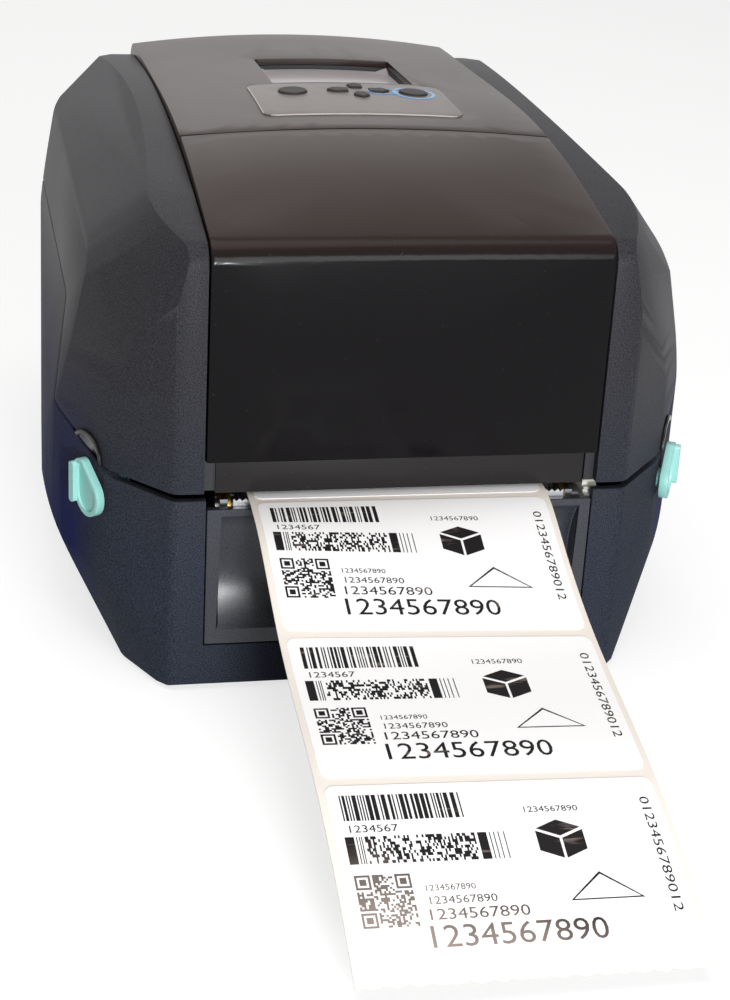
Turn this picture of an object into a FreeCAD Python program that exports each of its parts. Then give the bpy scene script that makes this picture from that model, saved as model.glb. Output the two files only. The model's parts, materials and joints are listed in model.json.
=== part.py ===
import FreeCAD, Part
import math
import os

# Desktop thermal-transfer label printer, millimetres, +Z up, front towards -Y, viewer's right +X.
# Everything is drawn from the front face of the housing (y = 0) and the table (z = 0), and moved at
# the end so that the origin is the bottom centre of the whole footprint, label web included.

Vec = FreeCAD.Vector

# ---- housing: plan ----
body_depth = 285.0
front_half = 76.0
crease_half = 96.5
crease_y = 24.0
hip_half = 115.0
hip_y = 61.0
hip_radius = 50.0
tail_half = 105.5
tail_back = 50.0
tail_y = body_depth - tail_back
rear_half = 75.0
plan_corner = 6.0
tail_radius = 60.0

# ---- housing: front view ----
sole_z = 1.5
sole_half = 90.0
tuck_top = 46.4
tuck_radius = 50.0
lean_start = 66.0
lean_radius = 58.0
ridge_half = 99.0
ridge_z = 140.5
ridge_radius = 10.0
chamfer_angle = 48.0
shoulder_blend = 65.0

# ---- housing: front part of the flank, between crease and hip ----
flank_tuck = 6.0
flank_tuck_top = 31.0
flank_tuck_radius = 36.0
flank_lean = 7.4
flank_lean_start = 100.0
flank_lean_radius = 140.0

# ---- housing: plane that takes off the upper rear corner ----
corner_x = 78.0
corner_back = 31.0
corner_z = 158.0
corner_turn = 53.0
corner_rise = 40.0

# ---- housing: side view ----
brow_z = 153.9
brow_radius = 8.0
roof_y = 124.0
roof_z = 173.4
roof_flat = 8.8
nape_back = 19.0
nape_y = body_depth - nape_back
nape_z = 159.0
nape_radius = 22.0
rear_step = 4.0
rear_foot_back = 6.0
rear_foot_y = body_depth - rear_foot_back
rear_foot_z = 14.0
rear_lean_z = 80.0
shell_wall = 3.0

# ---- parting between base and lid ----
sill_z = 69.2
ramp_start_y = 22.0
ramp_mid_y = 52.0
ramp_mid_z = 83.0
ramp_end_y = 82.0
deck_z = 113.0
parting_gap = 1.0
sill_gap = 2.6

# ---- lid hinge ----
hinge_back = 17.0
hinge_y = body_depth - hinge_back
hinge_z = 127.0
barrel_radius = 13.0
hinge_pin_radius = 4.0
bracket_inner = 39.5
bracket_width = 7.0
bracket_eye = 8.0
pin_overhang = 5.0
bracket_drop = 42.0

# ---- centre covers ----
cover_half = 65.5
cover_wall = 2.4
seam = 0.6
cover_stations = ((-10.0, 153.6, 0.0), (40.0, 162.0, 1.4), (96.0, 168.0, 3.0),
                  (body_depth - 125.0, 167.8, 3.8), (body_depth - 63.0, 165.4, 4.4),
                  (body_depth + 15.0, 159.0, 4.4))
cross_seam_y = 88.0
cover_skirt = 12.0
gloss_bottom = 82.4
cover_rear_z = 137.0
ledge_front = 20.0
ledge_stop = 18.0
ledge_back = hinge_y - ledge_stop
ledge_bottom = 122.0
ledge_top = 142.0
cover_nape = 19.0
skirt_line = ((40.0, 148.0), (96.0, 154.0))
skirt_rear_z = 150.0
skirt_end = 12.0

# ---- lid frame and fittings ----
frame_half = 62.7
frame_wall = 2.2
nest = 0.2
loose = 0.3
guard_half = 62.2
guard_bottom = 70.6
guard_wall = 2.0
guard_top = 85.7
jamb_back = 9.0
guard_y = 3.2

# ---- front panel ----
panel_half = 65.0
panel_bottom = 17.0
panel_top = 66.0
panel_wall = 3.0
scoop_half = 60.7
scoop_radius = 34.0
scoop_depth = 7.0
scoop_z = 43.0
scoop_wall = 1.6
panel_groove = 0.4

# ---- chassis ----
chassis_half = 60.0
chassis_wall = 2.5
chassis_front = 10.5
saddle_front = 6.0
saddle_bottom = 56.5
chassis_tail = 53.0
chassis_back = body_depth - chassis_tail
bed_top = 58.0
bed_wall = 2.5
bed_front = 24.0
bed_back = 92.0
cradle_top = 12.5
cradle_front = 104.0
cheek_plate_top = 67.0
cheek_plate_back = 110.0
cradle_wall_top = 104.0

# ---- platen and drive ----
platen_y = 12.5
platen_z = 62.0
platen_radius = 7.2
platen_core = 4.0
platen_length = 106.0
shaft_radius = 3.0
bush_radius = 5.0
bush_flange = 6.2
fit = 0.05
snug = 0.02
gear_module = 0.8
platen_teeth = 20
idler_teeth = 36
pinion_teeth = 12
idler_angle = 40.0
pinion_angle = 20.0
gear_face = 5.0
gear_plane = 64.0
axle_radius = 2.0
motor_shaft = 1.5
motor_cap = 1.5
bush_lip = 1.2
motor_radius = 17.5
motor_length = 20.0
motor_front = 22.0
motor_plate_wall = 1.5
motor_x = gear_plane + gear_face + 1.0 + motor_plate_wall
tooth_pitch = 2.0
tooth_depth = 0.8
tear_bar_wall = 1.0
tear_bar_top = 68.4
tear_bar_bottom = 63.8
tear_bar_half = 56.0

# ---- label roll and web ----
liner_width = 100.5
liner_thick = 0.35
label_thick = 0.25
label_lift = 0.06
label_width = 96.5
label_gap = 3.0
label_corner = 3.0
roll_front = 107.0
roll_room = 9.0
roll_radius = (chassis_back - roll_room - roll_front) / 2
core_radius = 16.0
core_bore = 12.7
roll_y = roll_front + roll_radius
roll_z = 78.0
web_dip_y = 62.0
web_lead = 13.0
web_z = platen_z + platen_radius + 0.15
web_end_slope = 0.5
label_gaps = (122.0, 60.7, -2.0, -59.2, -118.7, -175.2)
tear_points = 16
tear_depth = 3.0

# ---- media holders, paper guides, sensor ----
side_play = 0.45
slide_gap = 0.3
holder_wall = 3.6
holder_width = 30.0
holder_flange = 21.0
holder_stub = 7.0
foot_reach = 8.0
guide_y = 51.0
guide_length = 12.0
guide_wall = 2.0
guide_tab = 4.0
rack_module = 1.0
rack_teeth = 10
rack_width = 3.2
rack_thick = 2.4
rack_post = 2.0
rack_overlap = 14.0
sensor_y = 36.0
sensor_size = 12.0
sensor_top = 67.0
rail_width = 8.0
rail_height = 3.0
rear_rim_z = 84.0

# ---- printhead and ribbon ----
head_gap = 0.3
head_half = 54.0
head_front = 6.0
head_depth = 16.0
head_height = 7.75
head_pivot_y = 46.0
head_pivot_z = 80.0
head_pin_radius = 2.0
arm_wall = 2.0
carriage_half = cover_half - cover_wall - nest - frame_wall
carriage_wall = 2.0
carriage_low = 74.0
carriage_high = 148.0
carriage_front = 10.0
carriage_back = 98.0
carriage_step = (50.0, 104.0)
carriage_brow = (14.0, 120.0)
carriage_top_front = 30.0
carriage_bars = ((56.0, 4.0, 142.0, 4.0), (20.0, 8.0, 92.0, 2.0))
supply_y = 80.0
supply_z = 127.0
supply_radius = 22.0
takeup_y = 36.0
takeup_z = 132.0
takeup_radius = 13.0
spindle_radius = 5.0
trunnion_radius = 3.0
ribbon_core = 8.0
ribbon_width = 104.0

# ---- release levers: u runs back along the flank from the crease, v outwards from it ----
lever_u = 4.0
lever_z = 61.0
lever_hub = 7.0
lever_tip_u = 8.5
lever_tip_z = 69.5
lever_tip_radius = 3.5
lever_lift = 1.5
lever_wall = 2.9
lever_dish = 0.8
lever_rim = 1.6
fin_u = 9.6
fin_wall = 2.8
fin_round = 1.2
fin_height = 4.6
fin_bottom = 57.0
fin_top = 71.5
lever_shaft = 3.5
hook_depth = 7.5
hook_wall = 3.0
hook_arm = 3.4
hook_play = 1.6
hook_top = 82.8
latch_u = 9.5
latch_z = 77.5
latch_pin_radius = 2.5
latch_disc_u = 10.0
latch_disc_z = 72.0
latch_disc_radius = 9.8
latch_disc_lift = 1.2
latch_disc_rim = 1.6
latch_disc_dish = 0.7

# ---- operator panel ----
keypad_x = 2.4
keypad_y = 127.0
keypad_length = 46.0
keypad_width = 73.0
keypad_corner = 5.0
keypad_thick = 0.8
keypad_inset = 0.5
lcd_x = 3.6
lcd_y = 178.0
lcd_width = 54.0
lcd_length = 48.0
lcd_corner = 1.5
lcd_drop = 4.4
lcd_rim = 3.0
key_lift = 1.1
key_floor = 164.0
key_flange = 0.8
round_key_radius = 5.2
key_row_y = 136.5
round_keys = {"key_back": -18.6, "key_select": 26.8}
arrow_x = 6.1
arrow_y = 137.5
arrow_width = 5.6
arrow_stem = 4.0
arrow_head = 3.0
arrow_back = 4.0
arrow_round = 0.6
arrow_reach = 11.4
arrow_side_reach = 12.0
arrow_keys = {"key_up": (0, 1), "key_down": (0, -1), "key_left": (-1, 0), "key_right": (1, 0)}
control_half = 38.0
control_length = 106.0
control_y = 155.0
control_thick = 1.6
control_rise = 4.0
switch_stroke = 0.8

# ---- rear panel and main board ----
port_half = 62.0
port_bottom = 19.0
port_top = 58.0
port_wall = 2.0
port_lip = 2.0
board_z = 21.0
board_thick = 1.6
board_half = 68.0
board_inset = 6.0
board_length = 41.0
board_back = body_depth - board_inset
board_front = board_back - board_length
board_chips = ((-20.0, 14.0, 14.0, 1.6), (20.0, 20.0, 8.0, 2.0), (52.0, 10.0, 10.0, 9.0))
socket_depth = 18.0
socket_mouth = 9.0
socket_proud = 1.0
serial_x = -40.0
serial_width = 31.0
serial_height = 12.5
serial_mouth = 17.6
serial_mouth_height = 8.6
jackscrew_pitch = 25.0
jackscrew_radius = 1.25
jackscrew_deep = 6.0
network_x = -10.0
network_width = 16.0
network_height = 13.5
network_mouth = 11.7
network_mouth_height = 8.2
usb_x = 12.0
usb_width = 12.0
usb_height = 11.0
usb_mouth = 8.6
usb_mouth_height = 7.8
inlet_x = 30.0
inlet_radius = 5.5
inlet_bore = 2.8
inlet_pin = 1.0
inlet_deep = 9.0
inlet_z = 29.0
switch_x = 48.0
switch_z = 37.0
switch_width = 15.0
switch_height = 21.0
switch_deep = 12.0
switch_wall = 2.0
switch_bezel = 1.2
rocker_drop = 2.0
rocker_angle = 8.0
rocker_pin = 1.0
rocker_pin_reach = 1.4

# ---- underside ----
pan_half = 66.0
pan_front = 100.0
pan_back = chassis_back
pan_wall = 2.0
pan_screw_x = 54.0
pan_screw_inset = 14.0
vent_length = 70.0
vent_width = 3.0
vent_pitch = 9.0
vent_margin = 18.0
foot_radius = 8.0
foot_inset = 1.0
foot_x = 66.0
foot_front_y = 32.0
foot_back = 35.0
foot_rear_y = body_depth - foot_back
screw_radius = 1.5
screw_head = 3.0
screw_head_depth = 1.2
boss_radius = 4.0

# ---- label web outside the slot: y, z at the middle, tilt, sideways drift ----
web_end = -178.0
web_stations = ((-22.0, 63.6, 2.6, -1.2), (-59.2, 48.1, 2.1, -0.3), (-118.7, 32.5, 1.6, 1.4),
                (web_end - 1, 5.0, 0.9, 3.1))

reach = 400.0
centre_y = (body_depth + web_end) / 2


# ------------------------------------------------------------------ shapes in general


def box(x0, x1, y0, y1, z0, z1):
    return Part.makeBox(x1 - x0, y1 - y0, z1 - z0, Vec(x0, y0, z0))


def cross_rod(radius, x0, x1, y, z):
    return Part.makeCylinder(radius, x1 - x0, Vec(x0, y, z), Vec(1, 0, 0))


def cross_tube(outer, inner, x0, x1, y, z):
    return cross_rod(outer, x0, x1, y, z).cut(cross_rod(inner, x0, x1, y, z))


def post(radius, x, y, z0, z1):
    return Part.makeCylinder(radius, z1 - z0, Vec(x, y, z0))


def on_xy(a, b):
    return Vec(a, b, 0)


def on_xz(a, b):
    return Vec(a, 0, b)


def on_yz(a, b):
    return Vec(0, a, b)


def rounding(point, before, after, radius):
    """Start, middle and end of the arc that rounds one corner of an outline."""
    here = Vec(point[0], point[1], 0)
    a = Vec(before[0] - point[0], before[1] - point[1], 0).normalize()
    b = Vec(after[0] - point[0], after[1] - point[1], 0).normalize()
    half = a.getAngle(b) / 2
    middle = (a + b).normalize()
    centre = here + middle * (radius / math.sin(half))
    tangent = radius / math.tan(half)
    return here + a * tangent, centre - middle * radius, here + b * tangent


def outline(corners, plane):
    """Closed wire through corners (a, b) or (a, b, radius), laid in a plane."""
    count = len(corners)
    stops = []
    for i, point in enumerate(corners):
        if len(point) > 2 and point[2]:
            stops.append(rounding(point, corners[i - 1], corners[(i + 1) % count], point[2]))
        else:
            stops.append((Vec(point[0], point[1], 0),))
    edges = []
    for i, stop in enumerate(stops):
        place = [plane(p.x, p.y) for p in stop]
        if len(place) == 3:
            edges.append(Part.Arc(*place).toShape())
        following = stops[(i + 1) % count][0]
        target = plane(following.x, following.y)
        if (target - place[-1]).Length > 1e-6:
            edges.append(Part.LineSegment(place[-1], target).toShape())
    return Part.Wire(edges)


def prism(corners, plane, start, end):
    """Solid over an outline, between two places along the plane's own normal."""
    normal = {on_xy: Vec(0, 0, 1), on_xz: Vec(0, 1, 0), on_yz: Vec(1, 0, 0)}[plane]
    face = Part.Face(outline(corners, plane))
    face.translate(normal * start)
    return face.extrude(normal * (end - start))


def shrink(corners, distance):
    """A counter-clockwise outline with every side moved inwards."""
    moved = []
    count = len(corners)
    for i, point in enumerate(corners):
        before, after = corners[i - 1], corners[(i + 1) % count]
        a = Vec(point[0] - before[0], point[1] - before[1], 0).normalize()
        b = Vec(after[0] - point[0], after[1] - point[1], 0).normalize()
        shift = Vec(-a.y - b.y, a.x + b.x, 0) * (distance / (1 + a.dot(b)))
        radius = point[2] if len(point) > 2 else 0
        if radius:
            convex = a.x * b.y - a.y * b.x > 0
            radius = max(radius - distance, 0.2) if convex else radius + distance
        moved.append((point[0] + shift.x, point[1] + shift.y, radius))
    return moved


def symmetric(right):
    """Whole outline from its right half, drawn from the bottom centre to the top centre."""
    return right + [(-p[0],) + tuple(p[1:]) for p in reversed(right) if p[0] > 0]


def mirror_x(shape):
    return shape.mirror(Vec(0, 0, 0), Vec(1, 0, 0))


def pair(shape):
    return [shape, mirror_x(shape)]


def joined(*shapes):
    return shapes[0].multiFuse(list(shapes[1:])).removeSplitter()


# ------------------------------------------------------------------ housing


def plan_outline():
    return symmetric([(0, 0), (front_half, 0, plan_corner), (crease_half, crease_y),
                      (hip_half, hip_y, hip_radius), (tail_half, tail_y, tail_radius),
                      (rear_half, body_depth, plan_corner), (0, body_depth)])


def chamfer_z(x):
    """Height of the roof chamfer's plane at this distance from the middle."""
    return ridge_z + (ridge_half - x) * math.tan(math.radians(chamfer_angle))


def front_outline():
    return symmetric([(0, sole_z), (sole_half, sole_z, 2), (hip_half, tuck_top, tuck_radius),
                      (hip_half, lean_start, lean_radius), (ridge_half, ridge_z, ridge_radius),
                      (0, chamfer_z(0))])


def roof_radius():
    """Largest arc between the two roof slopes that leaves roof_flat of the shorter one straight."""
    rise, fall = math.atan2(roof_z - brow_z, roof_y), math.atan2(roof_z - nape_z, nape_y - roof_y)
    run = min(roof_y / math.cos(rise), (nape_y - roof_y) / math.cos(fall) - nape_radius)
    return (run - roof_flat) / math.tan((rise + fall) / 2)


def side_outline():
    return [(0, sole_z, 1.5), (rear_foot_y, sole_z, 4), (body_depth, rear_foot_z, 8),
            (body_depth, rear_lean_z, 40), (body_depth - rear_step, hinge_z),
            (nape_y, nape_z, nape_radius), (roof_y, roof_z, roof_radius()), (0, brow_z, brow_radius)]


def shoulder_wedge(wall):
    """Everything inside the front bevel and the roof chamfer, which roll into each other."""
    bevel = Vec(crease_y, front_half - crease_half, 0).normalize()
    lean = math.radians(chamfer_angle)
    chamfer = Vec(math.sin(lean), 0, math.cos(lean))
    along = bevel.cross(chamfer).normalize()
    across = along.cross(bevel)
    start = Vec(front_half, 0, chamfer_z(front_half)) - along * reach
    a, b = chamfer.dot(bevel), chamfer.dot(across)
    turn = 1 if b > 0 else -1
    corners = [(0, 0, shoulder_blend), (-turn * b * reach, turn * a * reach), (-2 * reach, -turn * reach),
               (0, -turn * reach)]
    if turn < 0:
        corners.reverse()
    if wall:
        corners = shrink(corners, wall)
    face = Part.Face(outline(corners, lambda p, q: start + bevel * p + across * q))
    return face.extrude(along * (2 * reach))


def flank_form(wall):
    """Everything inside the leaning front part of the right flank."""
    far = chamfer_z(0)
    far_lean = flank_lean * (far - flank_lean_start) / (ridge_z - flank_lean_start)
    side = [(-2 * reach, sole_z), (-flank_tuck, sole_z), (0, flank_tuck_top, flank_tuck_radius),
            (0, flank_lean_start, flank_lean_radius), (-far_lean, far), (-2 * reach, far)]
    if wall:
        side = shrink(side, wall)
    return on_flank(prism(side, on_xz, -reach, reach))


def rear_corner(wall):
    """Everything inside the plane that takes off the right upper rear corner."""
    turn, rise = math.radians(corner_turn), math.radians(corner_rise)
    out = Vec(math.cos(rise) * math.sin(turn), math.cos(rise) * math.cos(turn), math.sin(rise))
    through = Vec(corner_x, body_depth - corner_back, corner_z) - out * wall
    block = Part.makeBox(2 * reach, 2 * reach, 2 * reach, Vec(-reach, -reach, -2 * reach))
    block.Placement = FreeCAD.Placement(through, FreeCAD.Rotation(Vec(0, 0, 1), out))
    return block


def housing(wall=0.0):
    """Outer form of the closed printer, or the cavity that a wall of this thickness leaves."""
    plan, front, side = plan_outline(), front_outline(), side_outline()
    if wall:
        plan, front, side = shrink(plan, wall), shrink(front, wall), shrink(side, wall)
    form = prism(plan, on_xy, 0, reach)
    form = form.common(prism(front, on_xz, -reach, reach))
    form = form.common(prism(side, on_yz, -reach, reach))
    for side in (shoulder_wedge(wall), flank_form(wall), rear_corner(wall)):
        form = form.common(side).common(mirror_x(side))
    return form


def flank_angle():
    return math.degrees(math.atan2(hip_half - crease_half, hip_y - crease_y))


def on_flank(shape):
    """Carry a shape drawn as (outwards, back along the flank, up) to the right flank."""
    shape.rotate(Vec(0, 0, 0), Vec(0, 0, 1), -flank_angle())
    shape.translate(Vec(crease_half, crease_y, 0))
    return shape


def flank_rod(radius, start, end, u, z):
    return on_flank(Part.makeCylinder(radius, end - start, Vec(start, u, z), Vec(1, 0, 0)))


def base_region():
    """Below the parting line."""
    return prism([(-reach, -reach), (reach, -reach), (reach, deck_z), (ramp_end_y, deck_z, 10),
                  (ramp_mid_y, ramp_mid_z, 12), (ramp_start_y, sill_z, 6), (-reach, sill_z)],
                 on_yz, -reach, reach)


def lid_region():
    """Above the parting line; the rear lower corner rolls round the hinge."""
    low = sill_z + sill_gap
    rear = hinge_y + barrel_radius
    return prism([(-reach, low), (ramp_start_y, low), (ramp_mid_y - parting_gap, ramp_mid_z + parting_gap, 12),
                  (ramp_end_y - parting_gap, deck_z + parting_gap, 10),
                  (rear, hinge_z - barrel_radius, barrel_radius), (rear, hinge_z), (reach, hinge_z),
                  (reach, reach), (-reach, reach)], on_yz, -reach, reach)


# ------------------------------------------------------------------ base


def foot_places():
    return [(side * foot_x, y) for side in (-1, 1) for y in (foot_front_y, foot_rear_y)]


def board_posts():
    inset = boss_radius + 1
    return [(side * (board_half - inset), y)
            for side in (-1, 1) for y in (board_front + inset, board_back - inset)]


def pan_screws():
    rows = (pan_front + pan_screw_inset, pan_back - pan_screw_inset)
    return [(side * pan_screw_x, y) for side in (-1, 1) for y in rows]


def base_shell():
    shell = housing().cut(housing(shell_wall)).common(base_region())
    window = panel_half + panel_groove
    floor = sole_z + shell_wall
    cuts = [box(-window, window, -1, shell_wall + 1, panel_bottom - panel_groove, sill_z + 1),
            box(-port_half, port_half, body_depth - shell_wall - 1, body_depth + 1, port_bottom, port_top),
            box(-pan_half, pan_half, pan_front, pan_back, 0, floor + 1)]
    cuts += [post(foot_radius + fit, x, y, 0, sole_z + foot_inset) for x, y in foot_places()]
    cuts += pair(flank_rod(lever_shaft + loose, -hook_depth, 1, lever_u, lever_z))
    bosses = [post(boss_radius, x, y, floor - 1, board_z - fit) for x, y in board_posts()]
    return joined(shell.cut(Part.makeCompound(cuts)), *bosses)


def base_plate():
    low = sole_z + nest
    plate = box(loose - pan_half, pan_half - loose, pan_front + loose, pan_back - loose, low, low + pan_wall)
    cuts = []
    for x, y in pan_screws():
        cuts += [post(screw_radius + loose, x, y, 0, low + pan_wall + 1),
                 post(screw_head + loose, x, y, 0, low + screw_head_depth)]
    for i in range(int((pan_back - pan_front - 2 * vent_margin - vent_width) / vent_pitch) + 1):
        y = pan_front + vent_margin + vent_pitch * i
        cuts.append(box(-vent_length / 2, vent_length / 2, y, y + vent_width, 0, low + pan_wall + 1))
    return plate.cut(Part.makeCompound(cuts))


def case_screws():
    low = sole_z + nest
    top = cradle_top - bed_wall
    return Part.makeCompound([joined(post(screw_head, x, y, low, low + screw_head_depth - fit),
                                     post(screw_radius, x, y, low, top - 1)) for x, y in pan_screws()])


def rubber_feet():
    return Part.makeCompound([post(foot_radius, x, y, 0, sole_z + foot_inset) for x, y in foot_places()])


def front_panel():
    plate = box(-panel_half, panel_half, 0, panel_wall, panel_bottom, panel_top)
    centre = scoop_depth - scoop_radius
    low = scoop_z - scoop_radius
    half = scoop_half + scoop_wall
    shell = cross_rod(scoop_radius + scoop_wall, -half, half, centre, scoop_z)
    shell = shell.common(box(-half, half, 0, scoop_radius, low, panel_top))
    return joined(plate, shell).cut(cross_rod(scoop_radius, -scoop_half, scoop_half, centre, scoop_z))


def tear_bar():
    bar = box(-tear_bar_half, tear_bar_half, panel_wall + fit, panel_wall + fit + tear_bar_wall,
              tear_bar_bottom, tear_bar_top)
    count = int(2 * tear_bar_half / tooth_pitch)
    teeth = []
    for i in range(count):
        x = -tear_bar_half + tooth_pitch * i
        notch = [(x, tear_bar_top + 0.1), (x + tooth_pitch / 2, tear_bar_top - tooth_depth),
                 (x + tooth_pitch, tear_bar_top + 0.1)]
        teeth.append(prism(notch, on_xz, panel_wall, panel_wall + 2))
    return bar.cut(Part.makeCompound(teeth))


# ------------------------------------------------------------------ platen and its drive


def gear(teeth, module, width, phase, bore):
    """Spur gear round the X axis; phase is the direction of one tooth in degrees."""
    root, tip = module * (teeth / 2 - 1.1), module * (teeth / 2 + 0.8)
    root_half, tip_half = 0.75 * module / root, 0.27 * module / tip
    corners = []
    for i in range(teeth):
        middle = math.radians(phase) + 2 * math.pi * i / teeth
        for radius, turn in ((root, -root_half), (tip, -tip_half), (tip, tip_half), (root, root_half)):
            corners.append((radius * math.cos(middle + turn), radius * math.sin(middle + turn)))
    return prism(corners, on_yz, 0, width).cut(cross_rod(bore, -1, width + 1, 0, 0))


def placed(shape, x, y, z):
    shape.translate(Vec(x, y, z))
    return shape


def idler_centre():
    span = gear_module * (platen_teeth + idler_teeth) / 2
    turn = math.radians(idler_angle)
    return platen_y + span * math.cos(turn), platen_z - span * math.sin(turn)


def motor_centre():
    span = gear_module * (idler_teeth + pinion_teeth) / 2
    turn = math.radians(pinion_angle)
    y, z = idler_centre()
    return y + span * math.cos(turn), z - span * math.sin(turn)


def platen_shaft():
    half = platen_length / 2
    return joined(cross_rod(shaft_radius, -chassis_half - 1, gear_plane + gear_face, platen_y, platen_z),
                  cross_rod(platen_core, -half, half, platen_y, platen_z))


def platen_roller():
    half = platen_length / 2 - 1
    return cross_tube(platen_radius, platen_core + snug, -half, half, platen_y, platen_z)


def platen_bearings():
    inner = chassis_half - chassis_wall
    bush = joined(cross_rod(bush_radius, inner - fit, chassis_half, platen_y, platen_z),
                  cross_rod(bush_flange, inner - bush_lip, inner - fit, platen_y, platen_z))
    bore = cross_rod(shaft_radius + fit, 0, chassis_half + 1, platen_y, platen_z)
    return Part.makeCompound(pair(bush.cut(bore)))


def platen_gear():
    wheel = gear(platen_teeth, gear_module, gear_face, -idler_angle, shaft_radius + snug)
    return placed(wheel, gear_plane, platen_y, platen_z)


def idler_gear():
    phase = 180 - idler_angle + 180 / idler_teeth
    wheel = gear(idler_teeth, gear_module, gear_face, phase, axle_radius + fit)
    return placed(wheel, gear_plane, *idler_centre())


def motor_pinion():
    wheel = gear(pinion_teeth, gear_module, gear_face, 180 - pinion_angle, motor_shaft / 2)
    wheel = placed(wheel, gear_plane, *motor_centre())
    return joined(wheel, cross_rod(motor_shaft, gear_plane - 1, motor_x, *motor_centre()))


def plate_posts():
    y, z = motor_centre()
    rear, low = y + motor_radius - boss_radius, z - motor_radius + boss_radius
    return [(motor_front + boss_radius, low), (rear, low), (rear, platen_z - 1)]


def motor_plate():
    """Outrigger plate that carries the motor and the idler's axle."""
    y, z = motor_centre()
    start = motor_x - motor_plate_wall
    plate = box(start, motor_x, motor_front, y + motor_radius, z - motor_radius, platen_z + 3)
    plate = plate.cut(cross_rod(motor_shaft + loose, start - 1, motor_x + 1, y, z))
    return joined(plate, cross_rod(axle_radius, chassis_half, start + 0.5, *idler_centre()))


def stepper_motor():
    y, z = motor_centre()
    return joined(cross_rod(motor_radius, motor_x, motor_x + motor_length, y, z),
                  cross_rod(motor_radius / 2, motor_x, motor_x + motor_length + motor_cap, y, z))


# ------------------------------------------------------------------ label roll and web


def roll_core():
    half = liner_width / 2
    return cross_tube(core_radius, core_bore, -half, half, roll_y, roll_z)


def label_roll():
    half = liner_width / 2
    return cross_tube(roll_radius, core_radius + snug, -half, half, roll_y, roll_z)


def web_edge(side, lift):
    """One edge of the web: off the roll, down to the level run, over the platen, out of the slot."""
    dip = Vec(0, web_dip_y, web_z)
    span = Vec(0, roll_y, roll_z) - dip
    radius = roll_radius + loose
    swing = math.asin(radius / span.Length) + math.atan2(span.z, span.y)
    leave = dip + Vec(0, math.cos(swing), math.sin(swing)) * math.sqrt(span.Length ** 2 - radius ** 2)
    shift = Vec(side, 0, lift)
    bend = rounding((dip.y, dip.z), (leave.y, leave.z), (platen_y, web_z), web_lead)
    start, middle, end = [Vec(0, p.x, p.y) + shift for p in bend]
    slot = Vec(web_stations[0][3], platen_y - platen_radius, web_z) + shift
    outside = [slot] + [Vec(side + drift, y, z + lift - tilt * side * 2 / liner_width)
                        for y, z, tilt, drift in web_stations]
    curve = Part.BSplineCurve()
    curve.interpolate(Points=outside, InitialTangent=Vec(0, -1, 0), FinalTangent=Vec(0, -1, -web_end_slope))
    return [Part.LineSegment(leave + shift, start).toShape(), Part.Arc(start, middle, end).toShape(),
            Part.LineSegment(end, slot).toShape(), curve.toShape()]


def web_sheet(half, lift, thick):
    left, right = web_edge(-half, lift), web_edge(half, lift)
    return joined(*[Part.makeRuledSurface(a, b).extrude(Vec(0, 0, thick)) for a, b in zip(left, right)])


def label_liner():
    """The web's end is torn off raggedly."""
    half = liner_width / 2 + 2 * tear_depth
    torn = [(-half, web_end - 2 * tear_depth), (half, web_end - 2 * tear_depth)]
    for i in range(tear_points + 1):
        bite = tear_depth * abs(math.sin(2.3 * i)) * (i % 2)
        torn.append((half - 2 * half * i / tear_points, web_end + bite))
    return web_sheet(liner_width / 2, 0, liner_thick).cut(prism(torn, on_xy, 0, web_z))


def web_drift(y):
    """Sideways place of the web's middle at this distance from the housing's front."""
    known = [(web_dip_y, 0.0), (0.0, web_stations[0][3])] + [(s[0], s[3]) for s in web_stations]
    for (y0, x0), (y1, x1) in zip(known, known[1:]):
        if y >= y1:
            return x0 + (x1 - x0) * max((y - y0) / (y1 - y0), 0)
    return known[-1][1]


def printed_labels():
    layer = web_sheet(label_width / 2, liner_thick + label_lift, label_thick)
    half = label_width / 2
    labels = []
    for back, front in zip(label_gaps, label_gaps[1:]):
        x, low, high = web_drift((back + front) / 2), front + label_gap / 2, back - label_gap / 2
        cell = prism([(x - half, low, label_corner), (x + half, low, label_corner),
                      (x + half, high, label_corner), (x - half, high, label_corner)], on_xy, 0, reach)
        labels.append(layer.common(cell))
    return Part.makeCompound(labels)


# ------------------------------------------------------------------ media holders, guides, sensor


def rack(y, start, end, z0, z1):
    """Rack along X behind a pinion round (0, y), teeth facing it."""
    m = rack_module
    pitch_y = y + m * rack_teeth / 2
    tip, root, back = pitch_y - 0.8 * m, pitch_y + 1.1 * m, pitch_y + rack_width
    corners = [(end, root), (end, back), (start, back), (start, root)]
    pitch = math.pi * m
    for i in range(math.ceil((start + m) / pitch - 0.5), math.floor((end - m) / pitch - 0.5) + 1):
        x = pitch * (i + 0.5)
        corners += [(x - 0.8 * m, root), (x - 0.3 * m, tip), (x + 0.3 * m, tip), (x + 0.8 * m, root)]
    return prism(corners, on_xy, z0, z1)


def rack_pinion(y, floor):
    wheel = gear(rack_teeth, rack_module, rack_thick, 0, rack_post + fit)
    wheel.rotate(Vec(0, 0, 0), Vec(0, 1, 0), -90)
    return placed(wheel, 0, y, floor + slide_gap)


def slide_foot(half, wall, y, width, floor):
    """Foot plate and rack of the right-hand one of a pair that a pinion moves apart."""
    low = floor + slide_gap
    foot = box(half - foot_reach, half + wall, y - width / 2, y + width / 2, low, low + rack_thick)
    return joined(foot, rack(y, -rack_overlap, half - foot_reach + 1, low, low + rack_thick))


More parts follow.
